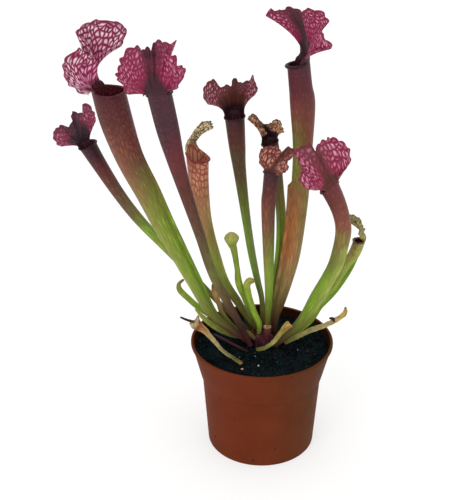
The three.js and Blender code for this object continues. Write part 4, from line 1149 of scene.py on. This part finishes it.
peg_turn, peg_points, peg_faces = full_turn(PEG_SIDES), [], []
for k in range(DRAINS):
    angle = k * math.pi / 3
    x, y = DRAIN_CIRCLE * math.cos(angle), DRAIN_CIRCLE * math.sin(angle)
    first = len(peg_points)
    for z in (-5, 12):
        peg_points += (turned(DRAIN_RADIUS, z, peg_turn, x, y) / 1000).tolist()
    low = [first + i for i in range(PEG_SIDES)]
    peg_faces += [[i, j, j + PEG_SIDES, i + PEG_SIDES] for i, j in zip(low, low[1:] + low[:1])]
    peg_faces += [low[::-1], [i + PEG_SIDES for i in low]]
drill_mesh = bpy.data.meshes.new("drill")
drill_mesh.from_pydata(peg_points, [], peg_faces)
drill = bpy.data.objects.new("drill", drill_mesh)
scene.collection.objects.link(drill)
weld = pot_piece.modifiers.new("weld", "WELD")
weld.merge_threshold = 1e-6
cut = pot_piece.modifiers.new("drains", "BOOLEAN")
cut.object = drill
cut.solver = "EXACT"
drilled = bpy.data.meshes.new_from_object(pot_piece.evaluated_get(bpy.context.evaluated_depsgraph_get()))
pot_piece.modifiers.clear()
pot_piece.data = drilled
bpy.data.objects.remove(drill)
print("pot has", len(drilled.polygons), "faces after drilling")

# %% [markdown]
# ## The peat
#
# Carnivorous plants grow in pure peat, nearly black when damp. Its surface is crumbs of all sizes: the
# bed is a sheet pushed up and down by several sizes of grain, and loose crumbs, fibres and a few pale
# grains of sand lie on it. Every crumb is a small rough stone shape of its own, seeded, so that none
# repeats. Bumps in the material alone would look flat from the side, and a pushed sheet alone has
# nothing loose.

# %% The bed of peat
CROWN_X, CROWN_Y, CROWN_RADIUS = 1, 4, 8.5
BED_RADIUS, BED_ROWS, BED_COLUMNS = 56.9, 110, 320


def soil_top(x, y):
    lumps = np.sin(x * 0.31 + 1.3 * np.sin(y * 0.17)) * np.cos(y * 0.27 + 0.6)
    return 90 + 1.6 * (1 - (x**2 + y**2) / RIM**2) + 0.7 * lumps


def grain(x, y, size, seed):
    """Smooth random unevenness, -1 to 1, with bumps about size mm wide."""
    table = np.random.default_rng(seed).uniform(-1, 1, (64, 64))
    u, v = x / size, y / size
    i, j = np.floor(u).astype(int), np.floor(v).astype(int)
    fu, fv = smooth(0, 1, u - i), smooth(0, 1, v - j)
    corners = [[table[(i + a) % 64, (j + b) % 64] for b in (0, 1)] for a in (0, 1)]
    near, far = (low * (1 - fv) + high * fv for low, high in corners)
    return near * (1 - fu) + far * fu


share = np.linspace(0, 1, BED_ROWS)[:, None]
bed_turn = full_turn(BED_COLUMNS)
crown_ring = turned(CROWN_RADIUS + 0.3, 0, bed_turn, CROWN_X, CROWN_Y)
bed_x, bed_y, _ = np.moveaxis(
    crown_ring * (1 - share[..., None]) + turned(BED_RADIUS, 0, bed_turn) * share[..., None], -1, 0)
rough = sum(amount * grain(bed_x, bed_y, size, seed)
            for size, amount, seed in ((7, 0.7, 1), (3.1, 0.55, 2), (1.5, 0.45, 3), (0.8, 0.3, 4)))
fade = smooth(0, 0.05, share) * smooth(0, 0.03, 1 - share)
bed_z = soil_top(bed_x, bed_y) + rough * (0.35 + 0.65 * fade)
# Below the bed, the block follows the pot's inside, and round the crown it has a well.
skirt = [turned(radius, z, bed_turn) for radius, z in ((49.6, 68), (48.7, 64), (44.4, 4.5), (0.01, 4.5))]
well = [turned(radius, z, bed_turn, CROWN_X, CROWN_Y) for radius, z in ((0.01, 81.7), (8.8, 81.7))]
peat = np.concatenate([well, points_of(bed_x, bed_y, bed_z), skirt])
# Painted light and shade: the bed is painted lighter on its bumps and darker in its hollows.
light = np.clip(0.75 + 0.5 * np.pad(rough, ((len(well), len(skirt)), (0, 0))), 0.3, 1.7)[..., None]
peat_tone = linear_rgb("#0a1619")
print("peat bed is", np.ptp(bed_z).round(2), "mm from its lowest to its highest place")

# %% Crumbs, fibres and grains
CRUMBS, FIBRES = 1500, 150


def add_loose(grids, ring, colour, flip=False):
    grids.add(ring, np.append(colour, 1), NO_VEIN, NO_NET, wrap=True, flip=flip)


def stone(x, y, height, size, draw, colour, grids):
    v, u = np.linspace(0, math.pi, 5)[:, None], full_turn(7)[None]
    shape = points_of(np.sin(v) * np.cos(u), np.sin(v) * np.sin(u), np.cos(v))
    shape = shape * draw.uniform(0.7, 1.25, (5, 7, 1)) * draw.uniform(0.6, 1.2, 3) * size
    shape[0], shape[-1] = shape[0].mean(axis=0), shape[-1].mean(axis=0)
    swing = draw.uniform(0, 6.28)
    spin = [[math.cos(swing), math.sin(swing), 0], [-math.sin(swing), math.cos(swing), 0], [0, 0, 1]]
    add_loose(grids, shape @ np.array(spin) + [x, y, soil_top(x, y) + height], colour, flip=True)


def fibre(start, length, draw, colour, grids):
    heading, bend = draw.uniform(0, 6.28), draw.uniform(-0.25, 0.25)
    steps = np.arange(7)
    headings = heading + bend * steps + draw.uniform(-0.2, 0.2, 7)
    xy = start + np.cumsum(np.stack([np.cos(headings), np.sin(headings)], axis=-1), axis=0) * length / 7
    lift = 0.35 + 0.9 * np.sin(steps / 6 * math.pi) * draw.uniform(0, 1)
    middle = np.column_stack([xy, soil_top(xy[:, 0], xy[:, 1]) + lift])
    thick = (draw.uniform(0.12, 0.3) * np.array([0.3, 0.9, 1, 1, 1, 0.8, 0.3]))[:, None]
    beside = points_of(-np.sin(headings), np.cos(headings), 0.0)
    ring = (middle[:, None] + beside[:, None] * (thick * [1, 0, -1, 0])[..., None]
            + np.array([0, 0, 1.0]) * (thick * [0, 1, 0, -1])[..., None])
    add_loose(grids, ring, colour)


def on_the_bed(draw, reach):
    while True:
        x, y = draw.uniform(-reach, reach, 2)
        if x * x + y * y < reach**2 and math.hypot(x - CROWN_X, y - CROWN_Y) > CROWN_RADIUS + 1.5:
            return np.array([x, y])


soil_grids = Grids()
soil_grids.add(peat, with_fourth(peat_tone * light, 1), NO_VEIN, NO_NET, wrap=True, flip=True)
draw = np.random.default_rng(8)
for k in range(CRUMBS):
    x, y = on_the_bed(draw, 55.5)
    size = draw.uniform(0.35, 0.9) if k % 6 else draw.uniform(0.9, 1.9)
    shade = draw.uniform(0.5, 1.8)
    brown = draw.uniform(0, 1) ** 7
    colour = peat_tone * shade * (1 - brown) + linear_rgb("#2b2220") * brown
    stone(x, y, size * 0.35, size, draw, colour, soil_grids)
for k in range(FIBRES):
    colour = linear_rgb(("#1d1b1c", "#241c18", "#332a24")[k % 3])
    fibre(on_the_bed(draw, 50), draw.uniform(4, 12), draw, colour * draw.uniform(0.6, 1.1), soil_grids)
for x, y, size, code in (
    (-3.5, -32.5, 0.75, "#e8e6df"), (-17, -36.5, 1.3, "#b89c80"), (-19, -20, 0.8, "#5d6b70"),
    (30, -8, 0.6, "#8a9090"), (-30, -10, 0.5, "#8a9090"), (12, -26, 0.45, "#a9a79c"),
    (44, -14, 0.5, "#77808a"), (-6, -19, 0.55, "#c9c4b8"), (24, 28, 0.5, "#a9a79c"),
    (-25, 34, 0.6, "#8a9090"), (38, 20, 0.5, "#c9c4b8"), (6, 40, 0.6, "#8a9090"),
):
    stone(x, y, 0.8, size, draw, linear_rgb(code), soil_grids)
print("peat has", soil_grids.count, "points with its crumbs")

# %% [markdown]
# Damp peat is matt, with a fine broken speckle of dark and less dark grains and hardly any sheen: the
# water sits in the fibres, not on them. Its refractive index is taken as 1.4. Real peat goes down to
# dust. Its grains are drawn 1.1 mm wide, as coarse as they need to be to show.

# %% Finish of the peat
PEAT_GRAIN_MM = 1.11


def peat_material(name, roughness):
    material, tree, shader = new_material(name)
    place = add_node(tree, "TexCoord").outputs["Object"]
    grains = add_node(tree, "TexNoise",
                      Vector=place, Scale=per_metre(PEAT_GRAIN_MM), Detail=4.0, Roughness=0.7)
    speckle = grains.outputs[0]
    shade = add_node(tree, "MapRange", Value=speckle, i1=0.3, i2=0.75, i3=0.45, i4=1.8)
    colour = add_node(tree, "VectorMath", SCALED,
                      i0=painted(tree, "ground")["Color"], Scale=shade.outputs[0])
    finish_surface(tree, shader, colour.outputs[0], speckle, (roughness - 0.1, roughness + 0.05),
                   speckle, (0.6, 0.0006), 1.4, 0.08)
    return material


soil_grids.piece("peat_bed", peat_material("peat_damp_loose_crumbs", 0.88), "soil")

# %% [markdown]
# ## The crown
#
# All leaves grow from one rhizome that sits in the peat with its top just above it. It is a dark maroon
# knot covered by the bases of old leaves, which lie over each other like scales. One old leaf was cut
# off short: its stub shows a dry tan rim round a dark hollow. It could be sculpted as one lump, but a
# turned knot with scales of their own is closer to how it grew.

# %% The knot
crown_grids = Grids()
dark_skin, wine_vein = tone["black_red"], np.append(tone["wine"], 0.5)
# Radius and height of the knot's outline, in mm.
knot_line = rows_of("0.01 82, 7 82, 8.5 85, 8.5 91, 8.4 94, 8 96.5, 7.2 99, 5.6 101, 3 101.8, 0.01 102")
knot_radius, knot_z = np.split(along(knot_line, np.linspace(0, 1, 60)), 2, axis=1)
knot_turn = full_turn(96)
swell = 0.35 * waves(knot_turn[None] * 4, knot_z * 0.6, 5) * smooth(90, 93, knot_z)
knot = turned(np.maximum(knot_radius + swell - 0.2, 0.01), knot_z, knot_turn, CROWN_X, CROWN_Y)
crown_grids.add(knot, np.append(dark_skin * 1.1, 0.2), wine_vein, knot / 1.6, wrap=True)
print("knot is", np.ptp(knot[..., 0]).round(1), "mm wide")

# %% [markdown]
# Each scale is a short leaf base that stands on the knot's side and leans in over it. The scales follow
# each other by the golden angle, as leaves on a crown do, so no two stand over each other.

# %% Scales of old leaf bases
SCALES, GOLDEN_ANGLE = 22, 2.4
SCALE_PLAN = {"fold": -0.18, "veins": 9, "strength": 0.6, "finish": "stalk", "crumple": 0.12}

draw = np.random.default_rng(31)
for k in range(SCALES):
    heading = k * GOLDEN_ANGLE + draw.uniform(-0.3, 0.3)
    outward = np.array([math.cos(heading), math.sin(heading)])
    base = np.array([CROWN_X, CROWN_Y]) + outward * (8.4 - 0.11 * k)
    top = base - outward * draw.uniform(0.5, 2.2)
    foot, height = 91.5 + 0.25 * k, draw.uniform(5, 8)
    scale_path = [
        [*base, foot, draw.uniform(4.5, 6)],
        [*(base * 0.7 + top * 0.3 + outward * 0.5), foot + height * 0.5, draw.uniform(3.5, 4.8)],
        [*top, foot + height, 0.8],
    ]
    plan = {**SCALE_PLAN, "faces": math.degrees(heading)}
    middle_tone, tip_tone = ("maroon", "black_red", "plum")[k % 3], ("umber", "maroon")[k % 2]
    tones = [(0, "black_red"), (0.6, middle_tone), (1, tip_tone)]
    add_blade(crown_grids, plan, scale_path, 0.2, tones, 80 + k, rows=22, columns=16)
print(SCALES, "scales on the knot")

# %% [markdown]
# The stub is an oval tube, a little wider at its top, with a ragged edge where it was cut. Its rings
# are given from the foot up over the edge and down into the hollow, each with the tone that it has
# there. A tube with a cut end would be sharp all round. Rings can be ragged and can carry a tone each.

# %% The stub of the cut leaf
STUB_X, STUB_Y, STUB_POINTS = 4.5, -3, 40
# Radius against the stub's own, height in mm, how ragged, and tone with its strength.
STUB_RINGS = [
    (1.0, 93.6, 0, "black_red", 1), (1.0, 97, 0, "black_red", 1.2), (0.97, 104, 0, "maroon", 0.8),
    (1.0, 110.4, 0.6, "umber", 1), (1.03, 111.6, 1, "dry", 1), (0.9, 111.9, 1, "dry_pale", 1),
    (0.74, 111.4, 0.8, "dry", 1), (0.66, 109.5, 0.3, "umber", 1), (0.5, 108, 0, "deep_brown", 1),
    (0.01, 107.6, 0, "deep_brown", 1),
]
stub_turn = full_turn(STUB_POINTS)
jag = 0.7 * np.random.default_rng(6).uniform(-1, 1, STUB_POINTS)
stub_rows = []
for radius, z, ragged, _, _ in STUB_RINGS:
    half = 3.2 * (0.78 + 0.22 * (z - 93.5) / 18.5) * radius
    x, y = STUB_X + half * np.cos(stub_turn), STUB_Y + 0.62 * half * np.sin(stub_turn)
    stub_rows.append(points_of(x, y, z + ragged * jag))
stub = np.stack(stub_rows)
stub_tones = np.array([tone[name] * strength for *_, name, strength in STUB_RINGS])
crown_grids.add(stub, with_fourth(stub_tones, 0.12)[:, None], wine_vein, stub / (1.5, 1.5, 9), wrap=True)
crown_grids.piece("crown_knot", finishes["stalk"], "rhizome")
